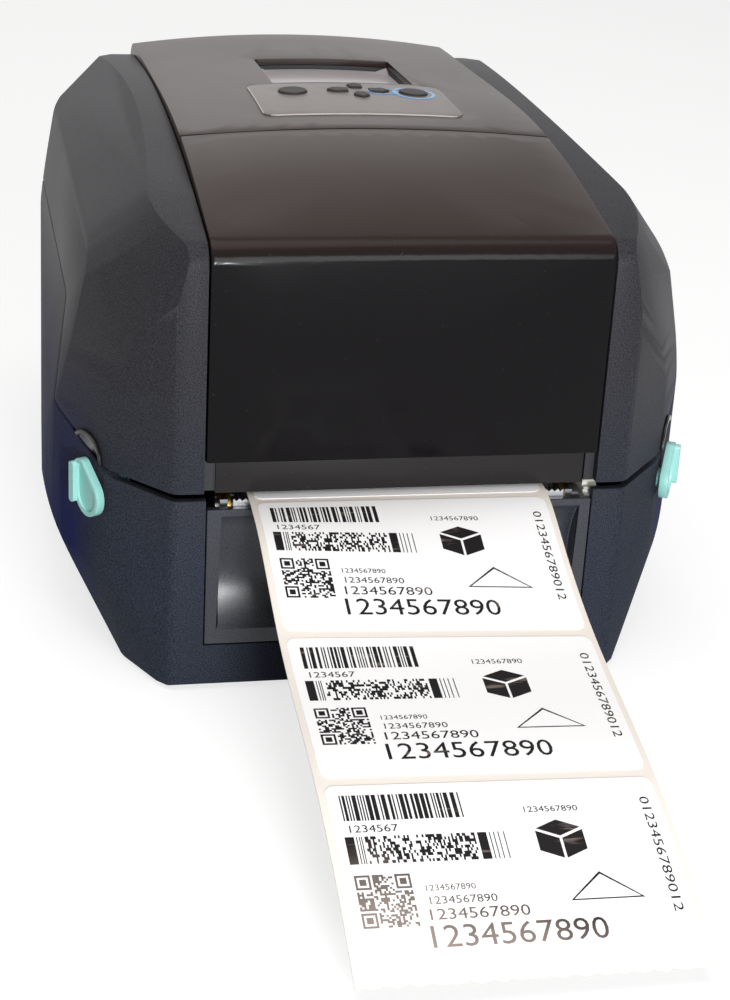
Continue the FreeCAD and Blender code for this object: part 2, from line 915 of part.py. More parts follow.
def media_holder():
    half = liner_width / 2 + side_play
    low, top = cradle_top + slide_gap, roll_z + holder_flange * 0.8
    arm = prism([(roll_y - holder_width / 2, low), (roll_y + holder_width / 2, low),
                 (roll_y + holder_width / 3, top, 6), (roll_y - holder_width / 3, top, 6)],
                on_yz, half + 0.6, half + holder_wall)
    disc = cross_rod(holder_flange, half, half + holder_wall, roll_y, roll_z)
    stub = cross_rod(core_bore - loose, half - holder_stub, half + 1, roll_y, roll_z)
    hollow = cross_rod(core_bore - 3, half - holder_stub - 1, half + 0.8, roll_y, roll_z)
    foot = slide_foot(half, holder_wall, roll_y, holder_width, cradle_top)
    return joined(foot, arm, disc, stub).cut(hollow)


def paper_guide():
    half = liner_width / 2 + side_play
    y0, y1 = guide_y - guide_length / 2, guide_y + guide_length / 2
    tab = web_z + liner_thick + label_thick + 2 * loose
    wall = box(half, half + guide_wall, y0, y1, bed_top + slide_gap, tab + guide_wall)
    cover = box(half - guide_tab, half + guide_wall, y0, y1, tab, tab + guide_wall)
    return joined(slide_foot(half, guide_wall, guide_y, guide_length, bed_top), wall, cover)


def turned(shape, y):
    """The left-hand one of a pair: the right-hand one turned round the pinion's axis."""
    copy = shape.copy()
    copy.rotate(Vec(0, y, 0), Vec(0, 0, 1), 180)
    return copy


def media_sensor():
    half = sensor_size / 2
    groove = rail_width / 2 + slide_gap
    block = box(-half, half, sensor_y - half, sensor_y + half, bed_top + slide_gap, sensor_top)
    block = block.cut(box(-half - 1, half + 1, sensor_y - groove, sensor_y + groove, bed_top,
                          bed_top + rail_height + slide_gap))
    return block.cut(post(screw_radius, 0, sensor_y, sensor_top - 1, sensor_top + 1))


# ------------------------------------------------------------------ chassis


def chassis():
    floor = sole_z + shell_wall
    inner = chassis_half - chassis_wall
    low = cradle_top - bed_wall
    rim = chassis_back - chassis_wall
    side = [(chassis_front, floor), (chassis_back, floor), (chassis_back, cradle_wall_top, 6),
            (cheek_plate_back + 10, cradle_wall_top, 6), (cheek_plate_back, cheek_plate_top, 6),
            (saddle_front, cheek_plate_top), (saddle_front, saddle_bottom), (chassis_front, saddle_bottom)]
    bed = [(bed_front, bed_top), (bed_front, bed_top - bed_wall), (bed_back - bed_wall, bed_top - bed_wall),
           (cradle_front - bed_wall, low), (chassis_back, low), (chassis_back, rear_rim_z),
           (rim, rear_rim_z), (rim, cradle_top), (cradle_front, cradle_top), (bed_back, bed_top)]
    rail = box(-inner, inner, sensor_y - rail_width / 2, sensor_y + rail_width / 2, bed_top - 1,
               bed_top + rail_height)
    pieces = [prism(side, on_yz, inner, chassis_half), prism(side, on_yz, -chassis_half, -inner),
              prism(bed, on_yz, -inner - 1, inner + 1), rail,
              post(rack_post, 0, guide_y, bed_top - 1, bed_top + rack_thick + slide_gap),
              post(rack_post, 0, roll_y, low + 1, cradle_top + rack_thick + slide_gap)]
    pan_top = sole_z + nest + pan_wall + fit
    pieces += [post(boss_radius, x, y, pan_top, low + 1) for x, y in pan_screws()]
    pieces += [cross_rod(boss_radius, chassis_half - 1, motor_x - motor_plate_wall, y, z)
               for y, z in plate_posts()]
    cuts = [post(screw_radius + fit, x, y, 0, low) for x, y in pan_screws()]
    notch = bush_radius + fit
    for x in (inner - 1, -chassis_half - 1):
        end = x + chassis_wall + 2
        cuts += [cross_rod(notch, x, end, platen_y, platen_z),
                 box(x, end, platen_y - notch, platen_y + notch, platen_z, cheek_plate_top + 1)]
    return joined(*pieces).cut(Part.makeCompound(cuts))


# ------------------------------------------------------------------ rear panel and electronics


def sockets():
    """Middle, width, height, and mouth width and height of each data socket on the main board."""
    return [(serial_x, serial_width, serial_height, serial_mouth, serial_mouth_height),
            (network_x, network_width, network_height, network_mouth, network_mouth_height),
            (usb_x, usb_width, usb_height, usb_mouth, usb_mouth_height)]


def port_panel():
    rear = body_depth - shell_wall
    low = board_z + board_thick
    y0, y1 = rear - port_wall - 1, rear + 1
    panel = box(-port_half - port_lip, port_half + port_lip, rear - port_wall, rear, port_bottom - port_lip,
                port_top + port_lip)
    cuts = [box(x - w / 2 - loose, x + w / 2 + loose, y0, y1, low - loose, low + h + loose)
            for x, w, h, _, _ in sockets()]
    cuts += [Part.makeCylinder(inlet_radius + loose, y1 - y0, Vec(inlet_x, y0, inlet_z), Vec(0, 1, 0)),
             box(switch_x - switch_width / 2, switch_x + switch_width / 2, y0, y1,
                 switch_z - switch_height / 2, switch_z + switch_height / 2)]
    return panel.cut(Part.makeCompound(cuts))


def main_board():
    top = board_z + board_thick
    board = box(-board_half, board_half, board_front, board_back, board_z, top)
    chips = [box(x - w / 2, x + w / 2, board_front + 4, board_front + 4 + d, top - 0.1, top + h)
             for x, w, d, h in board_chips]
    return joined(board, *chips)


def data_sockets():
    rear = body_depth - shell_wall + socket_proud
    low = board_z + board_thick
    shells = []
    for x, w, h, mouth, tall in sockets():
        shell = box(x - w / 2, x + w / 2, rear - socket_depth, rear, low, low + h)
        shells.append(shell.cut(box(x - mouth / 2, x + mouth / 2, rear - socket_mouth, rear + 1,
                                    low + (h - tall) / 2, low + (h + tall) / 2)))
    for side in (-1, 1):
        start = Vec(serial_x + side * jackscrew_pitch / 2, rear - jackscrew_deep, low + serial_height / 2)
        hole = Part.makeCylinder(jackscrew_radius, jackscrew_deep + 1, start, Vec(0, 1, 0))
        shells[0] = shells[0].cut(hole)
    return Part.makeCompound(shells)


def power_inlet():
    rear = body_depth - shell_wall + socket_proud
    back = Vec(0, 1, 0)
    body = joined(box(inlet_x - inlet_radius, inlet_x + inlet_radius, rear - socket_depth, rear - 4,
                      board_z + board_thick, inlet_z + inlet_radius),
                  Part.makeCylinder(inlet_radius, 5, Vec(inlet_x, rear - 5, inlet_z), back))
    floor = Vec(inlet_x, rear - inlet_deep, inlet_z)
    body = body.cut(Part.makeCylinder(inlet_bore, inlet_deep + 1, floor, back))
    pin = Part.makeCylinder(inlet_pin, inlet_deep - 1, floor - back, back)
    return joined(body, pin)


def power_switch():
    rear = body_depth - shell_wall
    w, h = switch_width / 2, switch_height / 2
    left, right, low, high = switch_x - w, switch_x + w, switch_z - h, switch_z + h
    frame = joined(box(left + fit, right - fit, rear - switch_deep, rear, low + fit, high - fit),
                   box(left - 1, right + 1, rear, rear + switch_bezel, low - 1, high + 1))
    wall, floor = switch_wall, rear - switch_deep
    frame = frame.cut(box(left + wall, right - wall, floor + wall, rear + wall, low + wall, high - wall))
    skin = wall - rocker_pin_reach - fit
    return frame.cut(cross_rod(rocker_pin + fit, left + skin, right - skin, rear - rocker_drop, switch_z))


def switch_rocker():
    """Rocker with a shallow vee outside, at rest with its lower half pressed in."""
    axis = body_depth - shell_wall - rocker_drop
    tall = switch_height / 2 - switch_wall - 2 * loose
    wide = switch_width / 2 - switch_wall - loose
    face = rocker_drop + switch_bezel - 0.5
    proud = face + tall * math.tan(math.radians(rocker_angle))
    profile = [(axis - 2, switch_z + 3), (axis - 2, switch_z - 3), (axis + 1, switch_z - tall),
               (axis + proud, switch_z - tall + 1), (axis + face, switch_z), (axis + proud, switch_z + tall - 1),
               (axis + 1, switch_z + tall)]
    rocker = prism(profile, on_yz, switch_x - wide, switch_x + wide)
    rocker.rotate(Vec(0, axis, switch_z), Vec(1, 0, 0), rocker_angle)
    half = switch_width / 2 - switch_wall + rocker_pin_reach
    return joined(rocker, cross_rod(rocker_pin, switch_x - half, switch_x + half, axis, switch_z))


# ------------------------------------------------------------------ hinge and levers


def hinge_brackets():
    """Arms on the base's rear wall that hold the hinge pins."""
    low = deck_z - bracket_drop
    inner, outer = bracket_inner, bracket_inner + bracket_width
    web = box(inner, outer, hinge_y - bracket_eye, reach, low, deck_z - 3)
    neck = box(inner, outer, hinge_y - bracket_eye, hinge_y + bracket_eye, low, hinge_z)
    arm = joined(web.common(housing(shell_wall)), neck, cross_rod(bracket_eye, inner, outer, hinge_y, hinge_z))
    bore = cross_rod(hinge_pin_radius + snug, inner - 1, outer + 1, hinge_y, hinge_z)
    return Part.makeCompound(pair(arm.cut(bore)))


def hinge_pins():
    start, end = bracket_inner - pin_overhang, bracket_inner + bracket_width + pin_overhang
    return Part.makeCompound(pair(cross_rod(hinge_pin_radius, start, end, hinge_y, hinge_z)))


def tangent_web(first, second, start, end):
    """Plate between two circles (u, z, radius), bounded by their outer tangents."""
    (u0, z0, r0), (u1, z1, r1) = first, second
    heading = math.atan2(z1 - z0, u1 - u0)
    swing = math.acos((r0 - r1) / math.hypot(u1 - u0, z1 - z0))
    touches = ((u0, z0, r0, swing), (u0, z0, r0, -swing), (u1, z1, r1, -swing), (u1, z1, r1, swing))
    corners = [(u + r * math.cos(heading + turn), z + r * math.sin(heading + turn))
               for u, z, r, turn in touches]
    return prism(corners, on_yz, start, end)


def release_lever():
    """Right-hand lever: plate and finger fin outside the flank, shaft through it, hook inside."""
    out = Vec(1, 0, 0)
    hub, tip = (lever_u, lever_z, lever_hub), (lever_tip_u, lever_tip_z, lever_tip_radius)
    discs = [Part.makeCylinder(r, lever_wall, Vec(lever_lift, u, z), out) for u, z, r in (hub, tip)]
    plate = tangent_web(hub, tip, lever_lift, lever_lift + lever_wall)
    face = lever_lift + lever_wall
    floor, inside = face - lever_dish, [(u, z, r - lever_rim) for u, z, r in (hub, tip)]
    dish = joined(tangent_web(*inside, floor, face + 1),
                  *[Part.makeCylinder(r, lever_dish + 1, Vec(floor, u, z), out) for u, z, r in inside])
    back, r = fin_u + fin_wall, fin_round
    fin = prism([(fin_u, fin_bottom, r), (back, fin_bottom, r), (back, fin_top, r), (fin_u, fin_top, r)],
                on_yz, lever_lift, lever_lift + fin_height)
    deep = -hook_depth - hook_wall
    shaft = Part.makeCylinder(lever_shaft, lever_lift + 1 - deep, Vec(deep, lever_u, lever_z), out)
    eye = Part.makeCylinder(lever_shaft + 2, hook_wall, Vec(deep, lever_u, lever_z), out)
    throat = latch_u - latch_pin_radius - hook_play - 1
    catch = latch_z + latch_pin_radius + 0.6
    hook = prism([(throat - hook_arm, lever_z), (throat, lever_z), (throat, catch), (throat + 1, catch),
                  (throat + 1, hook_top, 1), (throat - hook_arm, hook_top, 1)], on_yz, deep, -hook_depth)
    handle = joined(joined(plate, *discs).cut(dish), fin)
    return on_flank(joined(handle, shaft, hook, eye))


# ------------------------------------------------------------------ lid shells


def lid_cheek():
    """Right-hand side of the lid, with the ledge that rests against the lid frame."""
    edge = cover_half + seam
    outer = housing().common(lid_region()).common(box(edge, reach, -1, reach, 0, reach))
    cavity = housing(shell_wall).common(box(edge + shell_wall, reach, 0, reach, 0, reach))
    ledge = box(frame_half, edge + 1, ledge_front, ledge_back, ledge_bottom, ledge_top)
    return joined(outer.cut(cavity), ledge)


def latch_pins():
    pin = flank_rod(latch_pin_radius, -hook_depth - hook_wall - 1, -shell_wall, latch_u, latch_z)
    return Part.makeCompound(pair(pin))


def latch_discs():
    """Round pads beside the levers, cut off along the parting line."""
    disc = flank_rod(latch_disc_radius, 0, latch_disc_lift, latch_disc_u, latch_disc_z)
    inner = latch_disc_radius - latch_disc_rim
    disc = disc.cut(flank_rod(inner, latch_disc_lift - latch_disc_dish, reach, latch_disc_u, latch_disc_z))
    return Part.makeCompound(pair(disc.common(lid_region())))


def cross_edges(form, half, low, high):
    """Edges that run across the cover between two places along its depth, above its shoulders."""
    found = []
    for edge in form.Edges:
        span = edge.BoundBox
        across = span.XLength > 2 * half - 4 and span.YLength < 6
        if across and low < span.Center.y < high and span.ZMin > hinge_z:
            found.append(edge)
    return found


def cover_form(drop):
    """Crowned block under the centre covers, its skin lowered by drop on all sides."""
    half, base = cover_half - drop, sill_z
    sections = []
    for y, edge, rise in cover_stations:
        top = edge - drop
        feet, shoulders = [Vec(-half, y, base), Vec(half, y, base)], [Vec(half, y, top), Vec(-half, y, top)]
        crown = Part.LineSegment(*shoulders)
        if rise:
            crown = Part.Arc(shoulders[0], Vec(0, y, top + rise), shoulders[1])
        sections.append(Part.Wire([Part.LineSegment(*feet).toShape(),
                                   Part.LineSegment(feet[1], shoulders[0]).toShape(), crown.toShape(),
                                   Part.LineSegment(shoulders[1], feet[0]).toShape()]))
    block = Part.makeLoft(sections, True, False)
    rear = body_depth - rear_step - drop
    lean = (nape_y + 6 + rear_step - body_depth) / (nape_z - hinge_z)
    high = hinge_z + 80
    side = [(drop, 0), (rear, 0), (rear, hinge_z), (rear + lean * 80, high), (drop, high)]
    block = block.common(prism(side, on_yz, -reach, reach))
    block = block.makeFillet(brow_radius - drop, cross_edges(block, half, drop - 3, drop + 12))
    return block.makeFillet(cover_nape - drop, cross_edges(block, half, nape_y - 20, body_depth))


def cover_shell():
    """Both centre covers in one, with skirts down beside the lid frame."""
    rear = ledge_back + skirt_end
    top = [(-1, gloss_bottom), (cover_skirt, gloss_bottom), (cover_skirt, ledge_top + 1), *skirt_line,
           (rear, skirt_rear_z), (rear, cover_rear_z), (reach, cover_rear_z), (reach, reach), (-1, reach)]
    return cover_form(0).cut(cover_form(cover_wall)).common(prism(top, on_yz, -reach, reach))


def front_cover():
    return cover_shell().common(box(-reach, reach, -1, cross_seam_y - seam / 2, 0, reach))


def rectangle(x, y, width, length, radius, grow=0.0):
    """Upright bar over a rounded rectangle."""
    a, b, r = width / 2 + grow, length / 2 + grow, max(radius + grow, 0.3)
    corners = [(x - a, y - b, r), (x + a, y - b, r), (x + a, y + b, r), (x - a, y + b, r)]
    return prism(corners, on_xy, key_floor - 20, reach)


def keypad(grow=0.0):
    return rectangle(keypad_x, keypad_y, keypad_width, keypad_length, keypad_corner, grow)


def display_opening(grow=0.0):
    return rectangle(lcd_x, lcd_y, lcd_width, lcd_length, lcd_corner, grow)


def key_bar(name, grow=0.0):
    """Upright bar over one key's outline: round, or an arrow head that points outwards."""
    if name in round_keys:
        return post(round_key_radius + grow, round_keys[name], key_row_y, key_floor, reach)
    dx, dy = arrow_keys[name]
    tip = arrow_side_reach if dx else arrow_reach
    neck, half, stem, r = tip - arrow_head, arrow_width / 2, arrow_stem / 2, arrow_round
    head = shrink([(tip, 0, r), (neck, half, r), (arrow_back, stem, r), (arrow_back, -stem, r),
                   (neck, -half, r)], -grow)
    corners = [(arrow_x + a * dx - b * dy, arrow_y + a * dy + b * dx, r) for a, b, r in head]
    return prism(corners, on_xy, key_floor, reach)


def key_names():
    return list(round_keys) + list(arrow_keys)


def key(name):
    """Key cap with a flange that keeps it under the cover."""
    cap = key_bar(name).common(cover_form(-key_lift))
    return joined(cap, key_bar(name, key_flange).common(cover_form(cover_wall + loose)))


def key_holes():
    return Part.makeCompound([key_bar(name, loose) for name in key_names()])


def top_cover():
    cover = cover_shell().common(box(-reach, reach, cross_seam_y + seam / 2, reach, 0, reach))
    recess = keypad(0.15).cut(cover_form(keypad_inset))
    return cover.cut(recess).cut(display_opening()).cut(key_holes())


def operator_plate():
    plate = keypad().common(cover_form(keypad_inset - keypad_thick)).cut(cover_form(keypad_inset))
    return plate.cut(key_holes())


def board_pillars():
    a, b = control_half, control_length / 2
    return [(keypad_x + x, control_y + y) for x in (-a, a) for y in (-b, b)]


def control_board():
    """Board under the operator panel, with a switch below each key."""
    low = key_floor - switch_stroke - control_rise - control_thick
    top = low + control_thick
    margin = 4.0
    board = box(keypad_x - control_half - margin, keypad_x + control_half + margin,
                control_y - control_length / 2 - margin, control_y + control_length / 2 + margin, low, top)
    centres = [(x, key_row_y) for x in round_keys.values()]
    for dx, dy in arrow_keys.values():
        middle = arrow_reach - arrow_head
        centres.append((arrow_x + dx * middle, arrow_y + dy * middle))
    return joined(board, *[post(1.6, x, y, top - 0.1, key_floor - switch_stroke) for x, y in centres])


def display_module():
    """Tray that carries the display glass below the cover's opening."""
    low = key_floor - switch_stroke - control_rise
    tray = rectangle(lcd_x, lcd_y, lcd_width, lcd_length, lcd_corner, lcd_rim)
    tray = tray.common(box(-reach, reach, 0, reach, low, reach)).common(cover_form(cover_wall + nest))
    return tray.cut(display_opening().cut(cover_form(lcd_drop)))


def lid_frame():
    """Crowned shell under the covers, with jambs, pillars for the control board and the hinge barrel."""
    drop = cover_wall + nest
    half = frame_half
    shell = cover_form(drop).cut(cover_form(drop + frame_wall)).common(box(-half, half, 0, reach, 0, reach))
    window = box(keypad_x - control_half + 4, keypad_x + control_half - 4, keypad_y - keypad_length / 2 + 1,
                 lcd_y + lcd_length / 2 + lcd_rim + 1, key_floor - 20, reach)
    shell = shell.common(lid_region()).cut(window)
    shell = shell.cut(box(-guard_half - nest, guard_half + nest, -1, jamb_back - 1, 0, guard_top + loose))
    jamb = box(guard_half + nest, cover_half + loose, guard_y - nest, jamb_back,
               sill_z + sill_gap, gloss_bottom - nest)
    pillars = [post(3, x, y, key_floor - switch_stroke - control_rise, reach).common(cover_form(drop + 1))
               for x, y in board_pillars()]
    barrel = cross_rod(barrel_radius - 1, -half, half, hinge_y, hinge_z)
    frame = joined(shell, barrel, *pair(jamb), *pillars)
    eye = bracket_eye + 2 * loose
    inner, outer = bracket_inner - loose, bracket_inner + bracket_width + loose
    slot = box(inner, outer, hinge_y - eye, reach, 0, hinge_z + eye)
    bore = cross_rod(hinge_pin_radius + fit, inner - pin_overhang, outer + pin_overhang, hinge_y, hinge_z)
    return frame.cut(Part.makeCompound(pair(slot) + pair(bore)))


def tear_guard():
    return box(-guard_half, guard_half, guard_y, guard_y + guard_wall, guard_bottom, guard_top)


# ------------------------------------------------------------------ printhead and ribbon


def ribbon_carriage():
    """Side plates in the lid, with holes for the spindles and the head's pivot, and two cross bars."""
    inner = carriage_half - carriage_wall
    plate = prism([(carriage_front, carriage_low), (carriage_step[0], carriage_low, 6),
                   (carriage_back, carriage_step[1], 6), (carriage_back, carriage_high, 4),
                   (carriage_top_front, carriage_high, 10), (*carriage_brow, 20)], on_yz, inner, carriage_half)
    bars = [box(-inner - 1, inner + 1, y, y + deep, z, z + tall) for y, deep, z, tall in carriage_bars]
    frame = joined(*pair(plate), *bars)
    holes = [cross_rod(r + fit, -reach, reach, y, z) for r, y, z in
             ((trunnion_radius, supply_y, supply_z), (trunnion_radius, takeup_y, takeup_z),
              (head_pin_radius, head_pivot_y, head_pivot_z))]
    return frame.cut(Part.makeCompound(holes))


def spindle(y, z):
    """Ribbon spindle with a stop flange just outside the ribbon and thinner ends."""
    inner = carriage_half - carriage_wall - loose
    half = ribbon_width / 2 + loose
    flanges = [cross_rod(ribbon_core + 2, a, a + 2, y, z) for a in (half, -half - 2)]
    return joined(cross_rod(spindle_radius, -inner, inner, y, z),
                  cross_rod(trunnion_radius, -carriage_half, carriage_half, y, z), *flanges)


def ribbon_roll(radius, y, z):
    half = ribbon_width / 2
    return cross_tube(radius, spindle_radius + snug, -half, half, y, z)


def printhead():
    low = web_z + liner_thick + label_thick + head_gap + snug
    high = low + head_height
    back = head_front + head_depth
    side = [(head_front, low + 3), (head_front + 3, low), (back, low), (back, high), (head_front, high)]
    return prism(side, on_yz, -head_half, head_half)


def printhead_bracket():
    """Plate over the printhead with lugs and pivot pins at its back."""
    low = web_z + liner_thick + label_thick + head_gap + snug + head_height
    plate = box(-head_half, head_half, head_front + 4, head_pivot_y + 3, low, low + arm_wall)
    lug = box(head_half - 4, head_half, head_pivot_y - 4, head_pivot_y + 4, low, head_pivot_z + 4)
    pin = cross_rod(head_pin_radius, head_half - 2, carriage_half, head_pivot_y, head_pivot_z)
    return joined(plate, *pair(lug), *pair(pin))


# ------------------------------------------------------------------ the nodes


def nodes():
    holder, guide, lever, cheek = media_holder(), paper_guide(), release_lever(), lid_cheek()
    made = {
        "base_shell": base_shell(), "base_plate": base_plate(), "rubber_feet": rubber_feet(),
        "case_screws": case_screws(), "front_panel": front_panel(), "tear_bar": tear_bar(),
        "chassis": chassis(), "port_panel": port_panel(), "main_board": main_board(),
        "data_sockets": data_sockets(), "power_inlet": power_inlet(), "power_switch": power_switch(),
        "switch_rocker": switch_rocker(), "hinge_brackets": hinge_brackets(), "hinge_pins": hinge_pins(),
        "platen_bearings": platen_bearings(), "platen_shaft": platen_shaft(), "platen_roller": platen_roller(),
        "platen_gear": platen_gear(), "idler_gear": idler_gear(), "motor_pinion": motor_pinion(),
        "motor_plate": motor_plate(), "stepper_motor": stepper_motor(),
        "roll_core": roll_core(), "label_roll": label_roll(), "label_liner": label_liner(),
        "printed_labels": printed_labels(), "media_sensor": media_sensor(),
        "media_holder_right": holder, "media_holder_left": turned(holder, roll_y),
        "holder_pinion": rack_pinion(roll_y, cradle_top),
        "paper_guide_right": guide, "paper_guide_left": turned(guide, guide_y),
        "guide_pinion": rack_pinion(guide_y, bed_top),
        "release_lever_right": lever, "release_lever_left": mirror_x(lever),
        "lid_cheek_right": cheek, "lid_cheek_left": mirror_x(cheek),
        "lid_frame": lid_frame(), "front_cover": front_cover(), "top_cover": top_cover(),
        "tear_guard": tear_guard(), "latch_pins": latch_pins(), "latch_discs": latch_discs(),
        "operator_plate": operator_plate(), "control_board": control_board(), "display_module": display_module(),
        "ribbon_carriage": ribbon_carriage(),
        "supply_spindle": spindle(supply_y, supply_z), "takeup_spindle": spindle(takeup_y, takeup_z),
        "supply_ribbon": ribbon_roll(supply_radius, supply_y, supply_z),
        "takeup_ribbon": ribbon_roll(takeup_radius, takeup_y, takeup_z),
        "printhead": printhead(), "printhead_bracket": printhead_bracket(),
    }
    made.update({name: key(name) for name in key_names()})
    return made


os.makedirs("parts", exist_ok=True)
for node, shape in nodes().items():
    shape.translate(Vec(0, -centre_y, 0))
    shape.exportStep(f"parts/{node}.step")
    print(node, len(shape.Solids), round(shape.Volume / 1000, 2))
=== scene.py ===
import json
import math
import random

import bpy
import numpy as np
from mathutils import Matrix, Vector
from mathutils.bvhtree import BVHTree


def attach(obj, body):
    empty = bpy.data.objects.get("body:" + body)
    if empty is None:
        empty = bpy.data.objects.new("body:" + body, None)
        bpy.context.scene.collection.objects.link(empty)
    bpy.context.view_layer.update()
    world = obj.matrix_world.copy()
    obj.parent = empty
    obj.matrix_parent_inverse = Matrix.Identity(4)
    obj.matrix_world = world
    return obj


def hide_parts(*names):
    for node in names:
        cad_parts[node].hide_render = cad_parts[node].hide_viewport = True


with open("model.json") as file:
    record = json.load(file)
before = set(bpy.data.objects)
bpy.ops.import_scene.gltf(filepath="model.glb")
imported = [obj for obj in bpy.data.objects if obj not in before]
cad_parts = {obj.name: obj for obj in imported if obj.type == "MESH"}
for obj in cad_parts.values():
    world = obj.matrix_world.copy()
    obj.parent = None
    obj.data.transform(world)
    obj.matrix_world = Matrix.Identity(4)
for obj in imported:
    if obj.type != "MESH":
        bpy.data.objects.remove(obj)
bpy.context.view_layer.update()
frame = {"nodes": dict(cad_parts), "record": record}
nodes = frame["nodes"]
bodyOf = {node: body for body, group in frame["record"]["behaviour"]["bodies"].items() for node in group}
print("frame loaded:", len(nodes), "CAD nodes")


def deselectAll():
    if bpy.context.object and bpy.context.object.mode != "OBJECT":
        bpy.ops.object.mode_set(mode="OBJECT")
    bpy.ops.object.select_all(action="DESELECT")


def pick(piece):
    deselectAll()
    piece.select_set(True)
    bpy.context.view_layer.objects.active = piece


def settle(piece, name):  # object at the origin, unturned and unscaled
    pick(piece)
    bpy.ops.object.transform_apply(location=True, rotation=True, scale=True)
    piece.name = name
    return piece


def applyModifier(piece, kind, **settings):
    pick(piece)
    modifier = piece.modifiers.new(kind.title(), kind)
    for key, value in settings.items():
        setattr(modifier, key, value)
    bpy.ops.object.modifier_apply(modifier=modifier.name)


def weld(piece, distance, flatAngle=0.0):  # joins corners, and faces that lie in one plane
    pick(piece)
    bpy.ops.object.mode_set(mode="EDIT")
    bpy.ops.mesh.select_all(action="SELECT")
    bpy.ops.mesh.remove_doubles(threshold=distance)
    if flatAngle:
        bpy.ops.mesh.dissolve_limited(angle_limit=math.radians(flatAngle))
    bpy.ops.object.mode_set(mode="OBJECT")


def smoothShade(piece, degrees):
    pick(piece)
    bpy.ops.object.shade_smooth_by_angle(angle=math.radians(degrees))


def finishWith(piece, material, body):
    piece.data.materials.clear()
    piece.data.materials.append(material)
    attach(piece, body)


def joinAll(pieces, name):
    deselectAll()
    for piece in pieces:
        piece.select_set(True)
    bpy.context.view_layer.objects.active = pieces[0]
    if len(pieces) > 1:
        bpy.ops.object.join()
    bpy.context.object.name = name
    return bpy.context.object


class Wire:  # output of a shader node that takes part in sums and comparisons
    def __init__(self, shop, socket):
        self.shop, self.socket = shop, socket

    def __add__(self, other):
        return self.shop.math("ADD", self, other)

    def __sub__(self, other):
        return self.shop.math("SUBTRACT", self, other)

    def __rsub__(self, other):
        return self.shop.math("SUBTRACT", other, self)

    def __mul__(self, other):
        return self.shop.math("MULTIPLY", self, other)

    def __lt__(self, other):
        return self.shop.math("LESS_THAN", self, other)

    def __gt__(self, other):
        return self.shop.math("GREATER_THAN", self, other)

    __radd__, __rmul__ = __add__, __mul__


class Shop:  # makes and links the shader nodes of one material or world
    def __init__(self, owner, shader):
        owner.use_nodes = True
        self.owner, self.tree = owner, owner.node_tree
        self.shader = self.tree.nodes[shader]

    def add(self, kind, settings=None, sockets=None, out=0):
        node = self.tree.nodes.new(kind)
        for key, value in (settings or {}).items():
            if key == "stops":  # colour ramp
                ramp = node.color_ramp.elements
                while len(ramp) < len(value):
                    ramp.new(0.5)
                for stop, (position, level) in zip(ramp, value):
                    stop.position, stop.color = position, (level, level, level, 1)
            else:
                setattr(node, key, value)
        for key, value in (sockets or {}).items():
            self.feed(node.inputs[key], value)
        return Wire(self, node.outputs[out])

    def feed(self, socket, value):
        if isinstance(value, Wire):
            self.tree.links.new(value.socket, socket)
        else:
            socket.default_value = value

    def set(self, **values):
        for key, value in values.items():
            self.feed(self.shader.inputs[key.replace("_", " ")], value)

    def math(self, operation, first, second=0.0):
        return self.add("ShaderNodeMath", {"operation": operation}, {0: first, 1: second})

    def shown(self):  # 1 for a ray that shows the background to the eye, 0 for one that only lights the part
        camera, glossy, through = (self.add("ShaderNodeLightPath", out="Is " + kind + " Ray")
                                   for kind in ("Camera", "Glossy", "Transmission"))
        return self.math("MAXIMUM", self.math("MAXIMUM", camera, glossy), through)


class Finish(Shop):
    def __init__(self, name):
        super().__init__(bpy.data.materials.new(name), "Principled BSDF")
        self.place = self.add("ShaderNodeTexCoord", out="Object")

    def mix(self, amount, first, second):
        return self.add("ShaderNodeMix", {"data_type": "RGBA"}, {0: amount, 6: first, 7: second}, out=2)

    def noise(self, scale, detail, stretch=(1, 1, 1)):
        where = self.add("ShaderNodeMapping", sockets={"Vector": self.place, "Scale": stretch})
        return self.add("ShaderNodeTexNoise", sockets={"Vector": where, "Scale": scale, "Detail": detail})

    def ramp(self, value, *stops):
        return self.add("ShaderNodeValToRGB", {"stops": stops}, {0: value})

    def fade(self, value, start, rate):  # 0 up to start, then rising to 1
        return self.ramp((value - start) * rate, (0.0, 0), (1.0, 1))

    def axis(self, letter):
        return self.add("ShaderNodeSeparateXYZ", sockets={0: self.place}, out=letter)

    def bump(self, height, strength, distance=0.0001):
        self.set(Normal=self.add("ShaderNodeBump", sockets={"Height": height, "Strength": strength,
                                                            "Distance": distance}))


def linear(level):
    return ((level / 255 + 0.055) / 1.055) ** 2.4 if level > 10 else level / 255 / 12.92


def tone(red, green, blue):  # screen levels 0 to 255 as a linear colour
    return linear(red), linear(green), linear(blue), 1.0


def dimmed(colour, share):
    return tuple(level * share for level in colour[:3]) + (1,)


moulding = {"grain": 2600, "cloud": 18, "stops": ((0.35, 0), (0.7, 1)), "lift": 0.004, "uneven": 0.08}


def mouldedPlastic(name, colour, roughness, grain, speckle, specular=0.5):
    finish = Finish(name)
    fine, cloud = finish.noise(moulding["grain"], 1.0), finish.noise(moulding["cloud"], 3.0)
    lighter = tuple(min(level * (1 + speckle) + moulding["lift"] * speckle, 1) for level in colour[:3]) + (1,)
    body = finish.mix(finish.ramp(fine, *moulding["stops"]), dimmed(colour, 1 - speckle), lighter)
    finish.set(Base_Color=body, Roughness=roughness + (cloud - 0.5) * moulding["uneven"], Specular_IOR_Level=specular)
    finish.bump(fine, grain)
    return finish.owner


